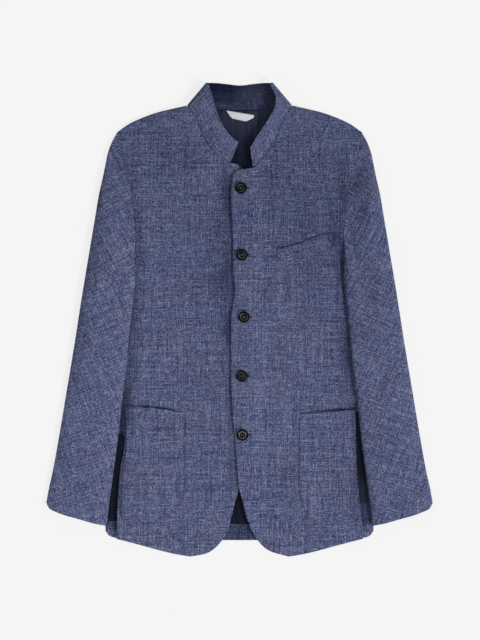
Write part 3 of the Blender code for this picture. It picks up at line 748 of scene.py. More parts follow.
def add_lining(material):
    plan = lining_plan()
    px, py = plan[..., 0], plan[..., 1]
    # Soft pleats that fall from the neck seam.
    pleat = 0.8 * bell((px - 17.0 + 0.05 * (350.0 - py)) / 5.0)
    pleat += 0.7 * bell((px + 5.0 - 0.03 * (350.0 - py)) / 4.0)
    pleat += 0.35 * bell((px - 34.0) / 6.0) + 0.3 * bell((px + 30.0) / 7.0)
    fade = smooth((360.0 - py) / 14.0)
    keep = smooth((70.0 - np.abs(px)) / 25.0) * smooth((py - 262.0) / 30.0)
    z = LINING_TOP + pleat * fade * keep
    z = z + 0.5 * smooth((py - along(NECK_SEAM, np.abs(px)) + 5.0) / 4.0) * (np.abs(px) < 90.0)
    # Painted shade: the lining is painted darker down from the neck, and less so low beside the left side's
    # vent.
    lining_painted_shade = smooth((345.0 - py) / 75.0)
    lining_painted_shade = lining_painted_shade * (1.0 - 0.8 * smooth((px - 190.0) / 8.0) * smooth((-255.0 - py) / 40.0))
    lay("back_lining", plan, z, LINING_WALL, material, shade=lining_painted_shade)


def band(x, head, foot, v):
    """Plan of a strip over x, at shares v of the way from its head line to its foot line."""
    down = head[None, :] + v[:, None] * (foot - head)[None, :]
    return np.stack([np.broadcast_to(x, down.shape), down], -1)


def add_back_hem(material):
    x = (shares(457.0, 4.0, [0.0, 0.4, 1.0]) - 0.5) * 457.0
    v = shares(28.0, 2.0, [0.0, 0.3, 0.8])
    plan = band(x, along(HEM_TURN, x) - 0.2, along(BACK_HEM, np.abs(x)) + 0.3, v)
    top, foot, left, right = edge_run(plan)
    px = plan[..., 0]
    z = rolled(np.full(px.shape, LINING_TOP), [foot], 0.6, 1.2)
    z = z - 0.35 * bell((px - CENTRE_X) / 0.7)
    # Painted shade: the hem turning is painted darker where the fronts shade it; at the hem's outer corners
    # this fades out towards the hem's edge.
    corner = smooth((np.abs(px) - 198.0) / 5.0)
    deep = np.where(px > 0.0, smooth((foot - 6.0) / 24.0), smooth((foot - 9.0) / 9.0))
    most = np.where(px > 0.0, 0.66, 0.62)
    depth = 0.60 * (1.0 - corner) + most * deep * corner
    lay("back_hem", plan, z, LINING_WALL, material, shade=depth)


def front_painted_shade(side, x, y):
    """Depth of the painted shade on a front: in the folds, above the pocket mouths, along their seams and
    along the welt's top.
    """
    painted_shade = folds(x, y, LEFT_PAINTED_SHADE if side > 0 else RIGHT_PAINTED_SHADE)
    out = np.abs(x)
    over = y - np.interp(out, table(POCKET_TOP)[:, 0], column(side, POCKET_TOP, 1, 2))
    if side < 0:
        span = smooth((out - 100.0) / 25.0) * smooth((178.0 - out) / 16.0)
    else:
        span = smooth((out - 112.0) / 60.0)
    painted_shade = painted_shade + 0.66 * span * bell((over - 1.0) / 2.4)
    inner = np.interp(-y, -table(POCKET_SIDES)[:, 0], column(side, POCKET_SIDES, 1, 3))
    seam = smooth((over + 350.0) / 10.0) * smooth(-over / 10.0) * smooth((y + 300.0) / 130.0)
    painted_shade = painted_shade + (0.62 if side < 0 else 0.12) * seam * bell((out - inner + 1.2) / 1.1)
    if side > 0:
        welt = y - np.interp(x, table(WELT)[:, 0], table(WELT)[:, 1])
        run = smooth((x - 60.0) / 14.0) * smooth((160.0 - x) / 60.0)
        painted_shade = painted_shade + 0.45 * run * bell((welt - 0.6) / 2.0)
    return np.clip(0.06 + painted_shade, 0.0, 0.8)


def front_surface(side, x, y):
    """Upper face of a front with its folds."""
    return front_height(x, y, side > 0) + body_detail(side, x, y)


def add_fronts(material):
    at = even(table(BODY)[:, 2:4], 2.8, ENDS)
    # The corner between the neck and the button edge keeps its own rows.
    at = np.unique(np.concatenate([at, [7.0, 8.0]]))
    across = shares(200.0, 2.8, ENDS)
    for side, name in ((-1.0, "front_right"), (1.0, "front_left")):
        plan = front_plan(side, at, across)
        x, y = plan[..., 0], plan[..., 1]
        top, foot, left, right = edge_run(plan)
        arm = distance(x, y, ARM_LINE)
        z = front_surface(side, x, y)
        if side < 0:
            z = rolled(z, [left], EDGE_DEPTH, EDGE_WIDTH)
        else:
            z = rolled(z, [left], 0.45, 0.9)
        z = rolled(z, [foot], EDGE_DEPTH, EDGE_WIDTH)
        z = rolled(z, [right], EDGE_DEPTH * smooth((-150.0 - y) / 40.0), EDGE_WIDTH)
        z = rolled(z, [arm], 0.7, 1.8)
        z = z - 0.25 * bell((arm - 3.2) / 1.2)
        z = stitched(z, left, 7.0, 0.10)
        z = stitched(z, foot, 32.0, 0.12)
        if side < 0:
            # A short crease at mid front.
            z = z - 0.35 * bell((x + 103.0) / 1.2) * smooth((34.0 - np.abs(y + 24.0)) / 12.0)
        else:
            z = z + 0.6 * bell((left - 5.0) / 2.8) * smooth((300.0 + y) / 60.0)
        lay(name, plan, z, WALL, material, shade=front_painted_shade(side, x, y))


def sleeve_weave(plan, side):
    """Grain of the sleeve: the weft falls away from the body, more at the upper arm than at the cuff."""
    middle = 0.5 * (plan[:, 0] + plan[:, -1])
    count = len(middle)
    turn = -side * np.radians(29.0 - 14.0 * np.linspace(0.0, 1.0, count))
    base = np.zeros((count, 2))
    for k in range(1, count):
        step = middle[k] - middle[k - 1]
        c, s = math.cos(turn[k]), math.sin(turn[k])
        base[k] = base[k - 1] + (c * step[0] + s * step[1], -s * step[0] + c * step[1])
    away = plan - middle[:, None]
    c, s = np.cos(turn)[:, None], np.sin(turn)[:, None]
    u = c * away[..., 0] + s * away[..., 1]
    v = -s * away[..., 0] + c * away[..., 1]
    return np.stack([u + base[:, None, 0] + side * 700.0, v + base[:, None, 1]], -1)


def add_sleeves(material):
    mid = 0.5 * (table(SLEEVE)[:, 0:2] + table(SLEEVE)[:, 2:4])
    at = even(mid, 2.8, ENDS)
    across = shares(105.0, 2.4, [0.0, 0.12, 0.4, 0.9, 1.6])
    rough_at = even(mid, 9.0, [0.0, 1.0])
    rough = shares(105.0, 5.0, [0.0, 0.6, 1.6])
    for side, name in ((-1.0, "sleeve_right"), (1.0, "sleeve_left")):
        plan = sleeve_plan(side, rough_at, rough)
        under = under_height(plan[..., 0], plan[..., 1])
        lay(name + "_under", plan, under, WALL, material, sleeve_weave(plan, side))
        plan = sleeve_plan(side, at, across)
        top, foot, left, right = edge_run(plan)
        z = sleeve_height(side, plan, across, at)
        z = rolled(z, [top], EDGE_DEPTH, 1.8)
        z = rolled(z, [foot], EDGE_DEPTH, EDGE_WIDTH)
        z = stitched(z, foot, 34.0, 0.12)
        # Painted shade: along the sleeve's inner edge, in its folds, and a little all over the left sleeve.
        inner_shade, base = (0.34, 0.06) if side > 0 else (0.10, 0.0)
        painted_shade = folds(plan[..., 0], plan[..., 1], SLEEVE_PAINTED_SHADE) + inner_shade * bell(right / 4.5)
        painted_shade = np.clip(painted_shade + base, 0.0, 0.6)
        weave = sleeve_weave(plan, side)
        lay(name + "_top", plan, z, WALL, material, weave, painted_shade)


def collar_rows():
    body = table(BODY)
    back = table(COLLAR_BACK)
    fold = table(FOLD)
    stations = []
    for side in (-1.0, 1.0):
        half = []
        seam = body[:NECK_ROWS, 0:2] if side < 0 else body[:NECK_ROWS, 2:4]
        for k in range(NECK_ROWS - 1, 0, -1):
            row = COLLAR_FRONT[k - 1]
            top = np.array(row[0:2] if side < 0 else row[2:4])
            z = float(front_height(seam[k, 0], seam[k, 1], side > 0)) + 0.5
            step = top - seam[k]
            low = seam[k] + step / np.linalg.norm(step) * 0.3
            half.append((*low, z, *top, z + row[4]))
        seam_z = half[-1][2]
        front, tip, rear = fold
        for turn in (90.0, 55.0, 20.0, -20.0, -55.0, -90.0):
            a = math.radians(turn)
            mid = front if turn > 0 else rear
            xy = mid + (tip - mid) * math.cos(a)
            low_z = seam_z * 0.5 * (1.0 + math.sin(a))
            top_z = front[4] * 0.5 * (1.0 + math.sin(a))
            half.append((side * xy[0], xy[1], low_z, side * xy[2], xy[3], top_z))
        for row in back[:-1]:
            half.append((side * row[0], row[1], 0.0, side * row[2], row[3], 0.0))
        if side < 0:
            stations += half + [(back[-1][0], back[-1][1], 0.0, back[-1][2], back[-1][3], 0.0)]
        else:
            stations += half[::-1]
    return np.array(stations)


def add_collar(material, inside):
    rows = collar_rows()
    mid = 0.5 * (rows[:, 0:3] + rows[:, 3:6])
    line = spaced(rows, even(mid, 2.2, [0.0, 0.4, 0.9, 1.6]))
    up = shares(42.0, 1.6, [0.0, 0.4, 0.9, 1.6])[None, :, None]
    grid = line[:, None, 0:3] + (line[:, None, 3:6] - line[:, None, 0:3]) * up
    steps = np.linalg.norm(np.diff(line[:, 0:3] * 0.5 + line[:, 3:6] * 0.5, axis=0), axis=1)
    run = np.concatenate([[0.0], np.cumsum(steps)])
    weave = np.stack([np.broadcast_to(up[..., 0] * 42.0, grid.shape[:2]) + 1500.0,
                      np.broadcast_to(run[:, None], grid.shape[:2])], -1)
    # Painted shade on the collar's laid-back half: darker towards the right side of the neck and towards its
    # top edge.
    laid = smooth((grid[..., 1] - 372.0) / 6.0) * smooth((6.0 - grid[..., 2]) / 2.0)
    painted_shade = laid * (0.48 * smooth((14.0 - grid[..., 0]) / 30.0) + 0.24 * smooth((grid[..., 1] - 388.0) / 14.0))
    obj = cloth("collar", grid, COLLAR_WALL, material, weave, painted_shade)
    # The half behind the neck shows its inner face, in the darker, smoother copy of the linen that is painted
    # shade for the collar's hollow.
    obj.data.materials.append(inside)
    cols = grid.shape[1]
    middle = grid[:, cols // 2]
    behind = (middle[:, 1] > 375.0) & (middle[:, 2] < 6.0)
    flags = behind[:-1] & behind[1:]
    obj.data.polygons.foreach_set("material_index", np.repeat(flags, cols - 1).astype(np.int32))


def add_pockets(material):
    near_edge = [0.0, 0.3, 0.8, 1.5]
    v = shares(190.0, 2.6, near_edge)
    u = shares(108.0, 2.6, near_edge)
    for side, name in ((-1.0, "pocket_right"), (1.0, "pocket_left")):
        y = -160.0 - v * 188.4
        heights = -table(POCKET_SIDES)[:, 0]
        inner = bend(-y, heights, column(side, POCKET_SIDES, 1, 3))
        outer = bend(-y, heights, column(side, POCKET_SIDES, 2, 4))
        x = inner[:, None] + u[None, :] * (outer - inner)[:, None]
        head = np.interp(x[0], table(POCKET_TOP)[:, 0], column(side, POCKET_TOP, 1, 2))
        y = y[:, None] + (1.0 - v[:, None]) ** 2 * (head + 160.0)[None, :]
        top, foot, left, right = edge_run(np.stack([x, y], -1))
        plan = np.stack([side * x, y], -1)
        z = front_surface(side, side * x, y) + SEAM + PATCH_WALL
        z = z + POCKET_FULL * smooth((x - 150.0) / 35.0)
        z = rolled(z, [left, foot, right], 0.9, 1.8)
        z = rolled(z, [top], 0.5, 1.2)
        mouth = bell(top / 14.0) * smooth(left / 22.0) * smooth(right / 22.0)
        z = z + 1.5 * mouth
        if side < 0:
            z = z - 0.85 * bell(top / 7.0) * smooth((x - 162.0) / 14.0)
        near = np.minimum(np.minimum(left, foot), right)
        z = stitched(z, near, 5.0, 0.12)
        z = stitched(z, top, 22.0, 0.15)
        z = z + 0.35 * smooth((near - 4.0) / 14.0)
        # Painted shade: the front's painted shade carries onto the pocket's outer part, with painted shadow
        # along its foot, in its mouth and beside the right pocket's inner edge.
        painted_shade = 0.8 * front_painted_shade(side, side * x, y) * smooth((x - 150.0) / 20.0)
        painted_shade = 0.05 + painted_shade + 0.34 * bell(foot / 1.6)
        # The painted shadow in the mouth fades out towards the side.
        fade = smooth(((178.0 if side < 0 else 194.0) - x) / 16.0)
        painted_shade = painted_shade + 0.25 * mouth * bell(top / 1.4) * fade
        if side < 0:
            painted_shade = painted_shade + 0.45 * bell(left / 1.5) * smooth((y + 345.0) / 60.0)
        weave = plan + (side * 260.0 + 0.4, 31.0)
        lay(name, plan, z, PATCH_WALL, material, weave, np.clip(painted_shade, 0.0, 0.7))


def add_welt(material):
    rows = table(WELT)
    u = shares(96.0, 2.0, [0.0, 0.3, 0.8, 1.5])
    v = shares(25.0, 1.6, [0.0, 0.3, 0.8, 1.5])
    x = rows[0, 0] + u * (rows[-1, 0] - rows[0, 0])
    plan = band(x, bend(x, rows[:, 0], rows[:, 1]), bend(x, rows[:, 0], rows[:, 2]), v)
    top, foot, left, right = edge_run(plan)
    z = front_surface(1.0, plan[..., 0], plan[..., 1]) + SEAM + PATCH_WALL
    z = rolled(z, [left, right], 0.9, 1.6)
    z = rolled(z, [foot], 1.1, 2.4)
    z = rolled(z, [top], 0.4, 1.0)
    along_welt, down_welt = turned(plan[..., 0], plan[..., 1], math.radians(16.0))
    weave = np.stack([along_welt + 900.0, down_welt], -1)
    # Painted shade, carried over from the left front.
    painted_shade = 0.75 * front_painted_shade(1.0, plan[..., 0], plan[..., 1]) + 0.06
    lay("breast_pocket", plan, z, PATCH_WALL, material, weave, painted_shade)


def add_label(material):
    rows = spaced(LABEL, np.linspace(0.0, len(LABEL) - 1.0, 14))
    u = shares(48.0, 1.5, [0.0, 0.4])[None, :, None]
    plan = rows[:, None, 0:2] * (1.0 - u) + rows[:, None, 2:4] * u
    wide, down = turned(plan[..., 0], plan[..., 1], math.radians(-10.0))
    weave = np.stack([wide, down - float(down.mean())], -1)
    z = LINING_TOP + LABEL_LIFT
    z = z + 0.4 * np.cos((wide - float(wide.mean())) / 9.5) + 0.9 * smooth((down - down.min()) / 14.0)
    lay("neck_label", plan, z, LABEL_WALL, material, weave)


def ring_faces(rings, sides):
    """Quads between rings of points that follow each other."""
    faces = []
    for r in range(rings - 1):
        for s in range(sides):
            n = (s + 1) % sides
            low, high = r * sides, (r + 1) * sides
            faces.append((low + s, low + n, high + n, high + s))
    return faces


def circle(cx, cy, z, radius, sides, start=0.0):
    turn = [start + 2.0 * math.pi * t / sides for t in range(sides)]
    return [(cx + radius * math.cos(a), cy + radius * math.sin(a), z) for a in turn]


def fan(points, edge, loop, cx, cy, start):
    """Triangles between a closed edge and the ring of points round a hole, both seen from its middle."""
    full = 2.0 * math.pi
    angles = [(math.atan2(points[p][1] - cy, points[p][0] - cx) - start) % full for p in edge]
    order = sorted(range(len(edge)), key=lambda i: angles[i])
    near = [int(round(angles[i] / full * HOLE_SIDES)) % HOLE_SIDES for i in order]
    faces = []
    for i, place in enumerate(order):
        j = (i + 1) % len(order)
        steps = [(near[i] + t) % HOLE_SIDES for t in range((near[j] - near[i]) % HOLE_SIDES + 1)]
        for a, b in zip(steps[:-1], steps[1:]):
            faces.append((edge[place], loop + b, loop + a))
        faces.append((edge[place], edge[order[j]], loop + near[j]))
    return faces


def button_form():
    """Points and faces of a four-hole button with a rounded rim and a dished middle."""
    sides = BUTTON_SIDES
    points = []
    for radius, height in BUTTON_PROFILE:
        points += circle(0.0, 0.0, height, radius, sides)
    faces = ring_faces(len(BUTTON_PROFILE), sides)
    inner = (len(BUTTON_PROFILE) - 1) * sides
    dish = BUTTON_PROFILE[-1][1]
    centre = len(points)
    points.append((0.0, 0.0, dish))
    arms = [len(points) + q for q in range(4)]
    points += circle(0.0, 0.0, dish, ARM_REACH, 4)
    for q in range(4):
        mid = math.radians(45.0 + 90.0 * q)
        cx, cy = HOLE_AT * math.cos(mid), HOLE_AT * math.sin(mid)
        loop = len(points)
        deep = loop + HOLE_SIDES
        points += circle(cx, cy, HOLE_RIM, HOLE_R, HOLE_SIDES, mid)
        points += circle(cx, cy, HOLE_FLOOR, HOLE_R, HOLE_SIDES, mid)
        for t in range(HOLE_SIDES):
            n = (t + 1) % HOLE_SIDES
            faces.append((loop + t, deep + t, deep + n, loop + n))
        faces.append(tuple(deep + t for t in range(HOLE_SIDES)))
        rim = [inner + (q * sides // 4 + s) % sides for s in range(sides // 4 + 1)]
        faces += fan(points, rim + [arms[(q + 1) % 4], centre, arms[q]], loop, cx, cy, mid)
    low = len(points)
    points.append((0.0, 0.0, 0.0))
    faces += [(low, (s + 1) % sides, s) for s in range(sides)]
    return np.array(points), faces


def tube(line, start):
    """Points and faces of a thread along a line, its first point numbered start."""
    points = []
    across = np.array([1.0, 0.0, 0.0])
    last = len(line) - 1
    for i, p in enumerate(line):
        tangent = line[min(i + 1, last)] - line[max(i - 1, 0)]
        other = np.cross(tangent / np.linalg.norm(tangent), across)
        for s in range(THREAD_SIDES):
            b = 2.0 * math.pi * s / THREAD_SIDES
            points.append(p + THREAD_R * (math.cos(b) * across + math.sin(b) * other))
    faces = [tuple(start + p for p in face[::-1]) for face in ring_faces(len(line), THREAD_SIDES)]
    faces.append(tuple(start + s for s in range(THREAD_SIDES)))
    end = start + last * THREAD_SIDES
    faces.append(tuple(end + s for s in range(THREAD_SIDES - 1, -1, -1)))
    return points, faces


def add_button(k, place, horn, thread):
    local, faces = button_form()
    weave = np.stack([local[:, 0] + 40.0 * k, local[:, 1], np.hypot(local[:, 0], local[:, 1])], 1)
    make_mesh("button_%d_horn" % k, local + place, faces, weave, horn, ["button_%d" % k], 40.0)
    # Three strands side by side across each pair of holes.
    points, faces = [], []
    for side in (-1.0, 1.0):
        for off in (-0.28, 0.0, 0.28):
            x = side * HOLE_AT * math.cos(math.radians(45.0)) + off
            strand = np.array([(x, y, z) for y, z in STRAND]) + place
            more, more_faces = tube(spaced(strand, np.linspace(0.0, len(STRAND) - 1.0, 13)), len(points))
            points += more
            faces += more_faces
    make_mesh("button_%d_thread" % k, np.array(points), faces, np.array(points), thread)


def left_top(x, y):
    """Height of the left front's upper face at one point."""
    return front_surface(1.0, np.array([x]), np.array([y]))[0]


def add_buttonhole(k, x, y, thread):
    """A sewn buttonhole that runs from under the button towards the side."""
    rng = np.random.default_rng(40 + k)
    points, faces = [], []
    length, count = 22.0, 46
    section = [
        # distance from the cut, height
        (0.25, 0.0), (0.45, 0.42), (1.0, 0.5), (1.35, 0.0),
    ]
    wide = len(section)
    for edge in (-1.0, 1.0):
        for i in range(count):
            cx = x - 7.0 + length * i / (count - 1)
            for out, rise in section:
                z = float(left_top(cx, y + edge * out)) + rise * (0.85 + 0.3 * rng.random())
                points.append((cx, y + edge * out, z))
    for e in range(2):
        for i in range(count - 1):
            for r in range(wide - 1):
                a = (e * count + i) * wide + r
                quad = (a, a + 1, a + wide + 1, a + wide)
                faces.append(quad if e == 0 else quad[::-1])
    make_mesh("buttonhole_%d" % k, np.array(points), faces, np.array(points), thread, None, 80.0)


def add_buttons(horn, thread, hole_thread):
    for k, (x, y) in enumerate(BUTTONS):
        xs = np.array([x, x - 8.0, x + 8.0, x, x])
        ys = np.array([y, y, y, y - 8.0, y + 8.0])
        base = float(np.max(front_surface(1.0, xs, ys))) + 0.35
        add_button(k + 1, (x, y, base), horn, thread)
        add_buttonhole(k + 1, x, y, hole_thread)


# Materials

THREAD_PAIR = 0.0011
TWILL_PITCH = 0.0009
TAPE_RIB = 0.0006
WHITE = (1.0, 1.0, 1.0)
# Linear colours of the yarns: dark, middle, light.
LINEN_COLOURS = [(0.018, 0.023, 0.068), (0.064, 0.076, 0.164), (0.206, 0.236, 0.368)]


class Nodes:
    """Short names for building a shader."""

    def __init__(self, name):
        self.material = bpy.data.materials.new(name)
        self.material.use_nodes = True
        self.tree = self.material.node_tree
        self.shader = self.tree.nodes["Principled BSDF"]

    def feed(self, socket, value):
        """A number or a colour goes in as it is, and an output is linked."""
        if isinstance(value, tuple):
            socket.default_value = (*value, 1.0)
        elif isinstance(value, (int, float)):
            socket.default_value = value
        else:
            self.tree.links.new(value, socket)

    def new(self, kind, inputs, **settings):
        node = self.tree.nodes.new(kind)
        for key, value in settings.items():
            setattr(node, key, value)
        for key, value in inputs.items():
            self.feed(node.inputs[key], value)
        return node

    def math(self, operation, *values, clamp=False):
        inputs = dict(enumerate(values))
        return self.new("ShaderNodeMath", inputs, operation=operation, use_clamp=clamp).outputs[0]

    def times(self, a, b):
        return self.math("MULTIPLY", a, b)

    def plus(self, a, b, clamp=False):
        return self.math("ADD", a, b, clamp=clamp)

    def minus(self, a, b):
        return self.math("SUBTRACT", a, b)

    def centred(self, value):
        return self.minus(value, 0.5)

    def wave(self, run, pitch):
        return self.math("SINE", self.times(run, 2.0 * math.pi / pitch))

    def ramp(self, value, low, high, to_low=0.0, to_high=1.0):
        inputs = {"Value": value, "From Min": low, "From Max": high, "To Min": to_low, "To Max": to_high}
        return self.new("ShaderNodeMapRange", inputs).outputs["Result"]

    def mix(self, share, a, b, kind="MIX"):
        inputs = {0: share, 6: a, 7: b}
        return self.new("ShaderNodeMix", inputs, data_type="RGBA", blend_type=kind).outputs[2]

    def tinted(self, colour, tint):
        return self.mix(1.0, colour, tint, "MULTIPLY")

    def combine(self, *values):
        return self.new("ShaderNodeCombineXYZ", dict(enumerate(values))).outputs[0]

    def split(self, vector):
        return self.new("ShaderNodeSeparateXYZ", {0: vector}).outputs

    def weave(self):
        """The mesh's weave attribute, whose three numbers split() gives."""
        return self.new("ShaderNodeAttribute", {}, attribute_name="weave").outputs["Vector"]

    def cells(self, u, v, count, seed):
        """An even random value for each square of a grid, count squares to the metre."""
        place = self.combine(*[self.math("FLOOR", self.times(way, count)) for way in (u, v)], seed)
        return self.new("ShaderNodeTexWhiteNoise", {"Vector": place}, noise_dimensions="3D").outputs["Value"]

    def noise(self, vector, detail, rough, scale=1.0):
        inputs = {"Vector": vector, "Scale": scale, "Detail": detail, "Roughness": rough}
        return self.new("ShaderNodeTexNoise", inputs, noise_dimensions="3D").outputs["Fac"]

    def stretched(self, u, v, across, down, seed, detail=2.0, rough=0.55):
        """Noise with its own count to the metre each way."""
        return self.noise(self.combine(self.times(u, across), self.times(v, down), seed), detail, rough)

    def surface(self, colour, rough, specular=None):
        self.feed(self.shader.inputs["Base Color"], colour)
        self.feed(self.shader.inputs["Roughness"], rough)
        if specular is not None:
            self.shader.inputs["Specular IOR Level"].default_value = specular

    def bump(self, height, strength, distance):
        inputs = {"Height": height, "Strength": strength, "Distance": distance}
        self.feed(self.shader.inputs["Normal"], self.new("ShaderNodeBump", inputs).outputs["Normal"])


def linen(name, lift=1.0, seed=0.0, outer_face=True):
    """Slubbed plain-weave linen: navy and pale blue yarns of uneven thickness both ways."""
    n = Nodes(name)
    u, v, painted_shade = n.split(n.weave())
    # A slow wander keeps the yarns from running dead straight.
    sway = n.times(n.centred(n.stretched(u, v, 9.0, 9.0, seed)), 0.006)
    us = n.plus(u, sway)
    vs = n.minus(v, sway)

    def crossed(fine, coarse, first, second, detail, rough):
        """Noise drawn out along the warp and along the weft."""
        return (n.stretched(us, v, fine, coarse, seed + first, detail, rough),
                n.stretched(u, vs, coarse, fine, seed + second, detail, rough))

    # Yarns of both directions: short thick and thin stretches, long ones and slubs.
    warp, weft = crossed(600.0, 48.0, 3.0, 7.0, 1.0, 0.6)
    warp_long, weft_long = crossed(470.0, 9.0, 11.0, 13.0, 1.0, 0.5)
    slub_warp, slub_weft = crossed(720.0, 52.0, 29.0, 31.0, 0.0, 0.5)
    mottle = n.stretched(u, v, 14.0, 14.0, seed + 19.0, 2.0, 0.5)
    # Where two yarns cross, one of them shows: a random value for each crossing.
    grain = n.cells(us, vs, 1050.0, seed + 23.0)
    # Single threads, over and under.
    over = n.times(n.wave(us, THREAD_PAIR), n.wave(vs, THREAD_PAIR))
    yarns = n.plus(n.centred(warp), n.centred(weft))
    longs = n.plus(n.centred(warp_long), n.centred(weft_long))
    slubs = n.plus(n.ramp(slub_warp, 0.68, 0.80), n.ramp(slub_weft, 0.68, 0.80))
    total = n.times(yarns, 0.40)
    for value, weight in ((longs, 0.72), (slubs, 0.75), (n.centred(grain), 0.98), (over, 0.07)):
        total = n.plus(total, n.times(value, weight))
    if not outer_face:
        total = n.times(total, 0.42)
    level = n.plus(total, 0.465, clamp=True)
    dark, middle, light = [tuple(lift * part for part in colour) for colour in LINEN_COLOURS]
    lower = n.mix(n.ramp(level, 0.0, 0.5), dark, middle)
    colour = n.mix(n.ramp(level, 0.5, 1.0), lower, light)
    # Broad bluish and purplish drift.
    colour = n.tinted(colour, n.mix(n.ramp(mottle, 0.3, 0.7), (0.94, 1.0, 1.04), (1.07, 0.99, 0.97)))
    # Painted shade carried in the weave attribute darkens the cloth towards navy.
    colour = n.tinted(colour, n.mix(painted_shade, WHITE, (0.0, 0.02, 0.12)))
    if outer_face:
        # Painted light and shade: the cloth is painted darker over the chest and shoulders and a little
        # lighter towards the hem.
        place = n.new("ShaderNodeTexCoord", {}).outputs["Object"]
        up = n.ramp(n.split(place)[1], -0.15, 0.30)
        colour = n.tinted(colour, n.mix(up, (1.05, 1.05, 1.05), (0.86, 0.86, 0.86)))
    n.surface(colour, n.ramp(level, 0.0, 1.0, 0.95, 0.82), 0.1 if outer_face else 0.05)
    n.shader.inputs["Sheen Weight"].default_value = 0.02 if outer_face else 0.0
    n.shader.inputs["Sheen Roughness"].default_value = 0.5
    n.bump(n.plus(n.times(total, 0.55), n.times(over, 0.30)), 0.55, 0.0005)
    return n.material


def lining_cloth(name):
    """Dark navy twill with faint lengthwise streaks."""
    n = Nodes(name)
    u, v, painted_shade = n.split(n.weave())
    wave = n.stretched(u, v, 130.0, 6.0, 2.0, 2.0, 0.6)
    streak = n.stretched(u, v, 500.0, 20.0, 5.0)
    cloud = n.stretched(u, v, 40.0, 40.0, 9.0)
    level = n.plus(n.times(n.ramp(wave, 0.35, 0.75), 0.6), n.times(streak, 0.5))
    level = n.plus(level, n.times(cloud, 0.25), clamp=True)
    colour = n.mix(level, (0.005, 0.006, 0.015), (0.030, 0.036, 0.068))
    # Painted shade carried in the weave attribute darkens the lining.
    colour = n.tinted(colour, n.mix(painted_shade, WHITE, (0.30, 0.34, 0.36)))
    n.surface(colour, n.ramp(streak, 0.3, 0.7, 0.48, 0.62), 0.06)
    n.bump(n.wave(n.plus(u, v), TWILL_PITCH), 0.25, 0.0002)
    return n.material


def button_horn(name):
    """Dark olive-black polished button, faintly clouded."""
    n = Nodes(name)
    own = n.weave()
    place, _, radius = n.split(own)
    cloud = n.noise(own, 3.0, 0.6, 160.0)
    vein = n.noise(own, 4.0, 0.7, 420.0)
    level = n.plus(n.times(cloud, 0.7), n.times(vein, 0.4), clamp=True)
    body = n.mix(n.ramp(level, 0.35, 0.8), (0.0006, 0.0010, 0.0010), (0.004, 0.005, 0.004))
    # The last button's painted highlight ring is the palest.
    last = n.ramp(place, 0.186, 0.188, 1.0, 2.2)
    # A painted highlight: a paler ring between the dish and the rim, standing in for light caught there.
    out = n.times(n.ramp(radius, 0.0040, 0.0050), n.ramp(radius, 0.0074, 0.0066))
    painted_highlight = n.times(n.times(out, n.ramp(cloud, 0.40, 0.60, 0.1, 1.0)), last)
    colour = n.mix(n.times(painted_highlight, 0.45), body, (0.120, 0.128, 0.122))
    n.surface(colour, n.ramp(vein, 0.3, 0.7, 0.16, 0.30), 0.06)
    n.bump(vein, 0.15, 0.0001)
    return n.material


def thread_material(name, dark, light):
    n = Nodes(name)
    twist = n.noise(n.weave(), 2.0, 0.6, 2600.0)
    n.surface(n.mix(n.ramp(twist, 0.3, 0.7), dark, light), n.ramp(twist, 0.2, 0.8, 0.7, 0.9))
    n.bump(twist, 0.5, 0.0002)
    return n.material


def label_material(name):
    """Off-white woven tape with a fine rib and a soft selvage."""
    n = Nodes(name)
    u, v, _ = n.split(n.weave())
    cross = n.stretched(u, v, 300.0, 1800.0, 1.0)
    edge = n.ramp(n.math("ABSOLUTE", v), 0.0040, 0.0050)
    level = n.plus(n.times(cross, 0.7), n.times(edge, 0.35), clamp=True)
    n.surface(n.mix(level, (0.66, 0.66, 0.69), (0.44, 0.45, 0.50)), n.ramp(cross, 0.3, 0.7, 0.75, 0.9))
    n.bump(n.wave(u, TAPE_RIB), 0.3, 0.0002)
    return n.material


# Stage, lights and camera

def floor_material():
    n = Nodes("floor")
    n.surface((0.13, 0.13, 0.13), 0.9, 0.0)
    n.feed(n.shader.inputs["Emission Color"], WHITE)
    n.shader.inputs["Emission Strength"].default_value = 0.78
    return n.material


def add_stage():
    mesh = bpy.data.meshes.new("floor")
    s, z = 8.0, -0.0002
    mesh.from_pydata([(-s, -s, z), (s, -s, z), (s, s, z), (-s, s, z)], [], [(0, 1, 2, 3)])
    mesh.materials.append(floor_material())
    floor = bpy.data.objects.new("floor", mesh)
    bpy.context.scene.collection.objects.link(floor)


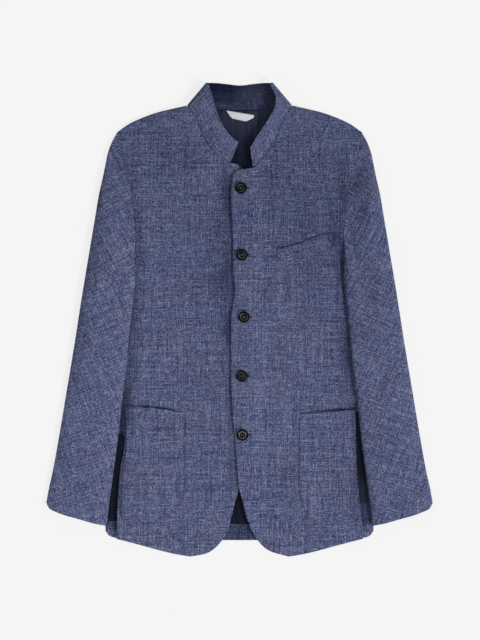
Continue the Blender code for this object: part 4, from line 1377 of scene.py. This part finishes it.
def add_sun(name, turn, rise, angle, power):
    """A soft, even light from a direction: turn from +X, rise above the surface."""
    data = bpy.data.lights.new(name, "SUN")
    data.angle = math.radians(angle)
    data.energy = power
    light = bpy.data.objects.new(name, data)
    a, b = math.radians(turn), math.radians(rise)
    towards = Vector((math.cos(a) * math.cos(b), math.sin(a) * math.cos(b), math.sin(b)))
    light.location = towards * 3.0
    light.rotation_mode = "QUATERNION"
    light.rotation_quaternion = towards.to_track_quat("Z", "Y")
    bpy.context.scene.collection.objects.link(light)


def add_camera():
    data = bpy.data.cameras.new("camera")
    data.sensor_width = 36.0
    data.lens = 100.0
    height = VIEW_PIXELS * PIXEL * MM * data.lens / data.sensor_width + 0.008
    cam = bpy.data.objects.new("camera", data)
    cam.location = (0.5 * PIXEL * MM, -0.25 * PIXEL * MM, height)
    data.clip_end = 50.0
    bpy.context.scene.collection.objects.link(cam)
    bpy.context.scene.camera = cam


LINEN = linen("linen_cloth")
# The collar's inner face: the same linen painted darker and smoother, as painted shade for the collar's
# hollow.
INSIDE = linen("collar_inside", 0.42, 50.0, False)
LINING = lining_cloth("lining_cloth")
HORN = button_horn("button_horn")
THREAD = thread_material("button_thread", (0.05, 0.055, 0.06), (0.16, 0.17, 0.17))
HOLE_THREAD = thread_material("buttonhole_thread", (0.004, 0.005, 0.014), (0.018, 0.021, 0.045))
TAPE = label_material("label_tape")

add_backs(LINEN)
add_lining(LINING)
add_back_hem(LINEN)
add_fronts(LINEN)
add_sleeves(LINEN)
add_collar(LINEN, INSIDE)
add_pockets(LINEN)
add_welt(LINEN)
add_label(TAPE)
add_buttons(HORN, THREAD, HOLE_THREAD)
add_stage()
add_sun("key", -34.0, 28.0, 14.0, 3.15)
add_sun("fill", 150.0, 45.0, 40.0, 0.45)
add_camera()

world = bpy.data.worlds.new("studio")
world.use_nodes = True
world.node_tree.nodes["Background"].inputs[0].default_value = (1.0, 1.0, 1.0, 1.0)
world.node_tree.nodes["Background"].inputs[1].default_value = 0.46
bpy.context.scene.world = world
bpy.context.scene.view_settings.view_transform = "Standard"
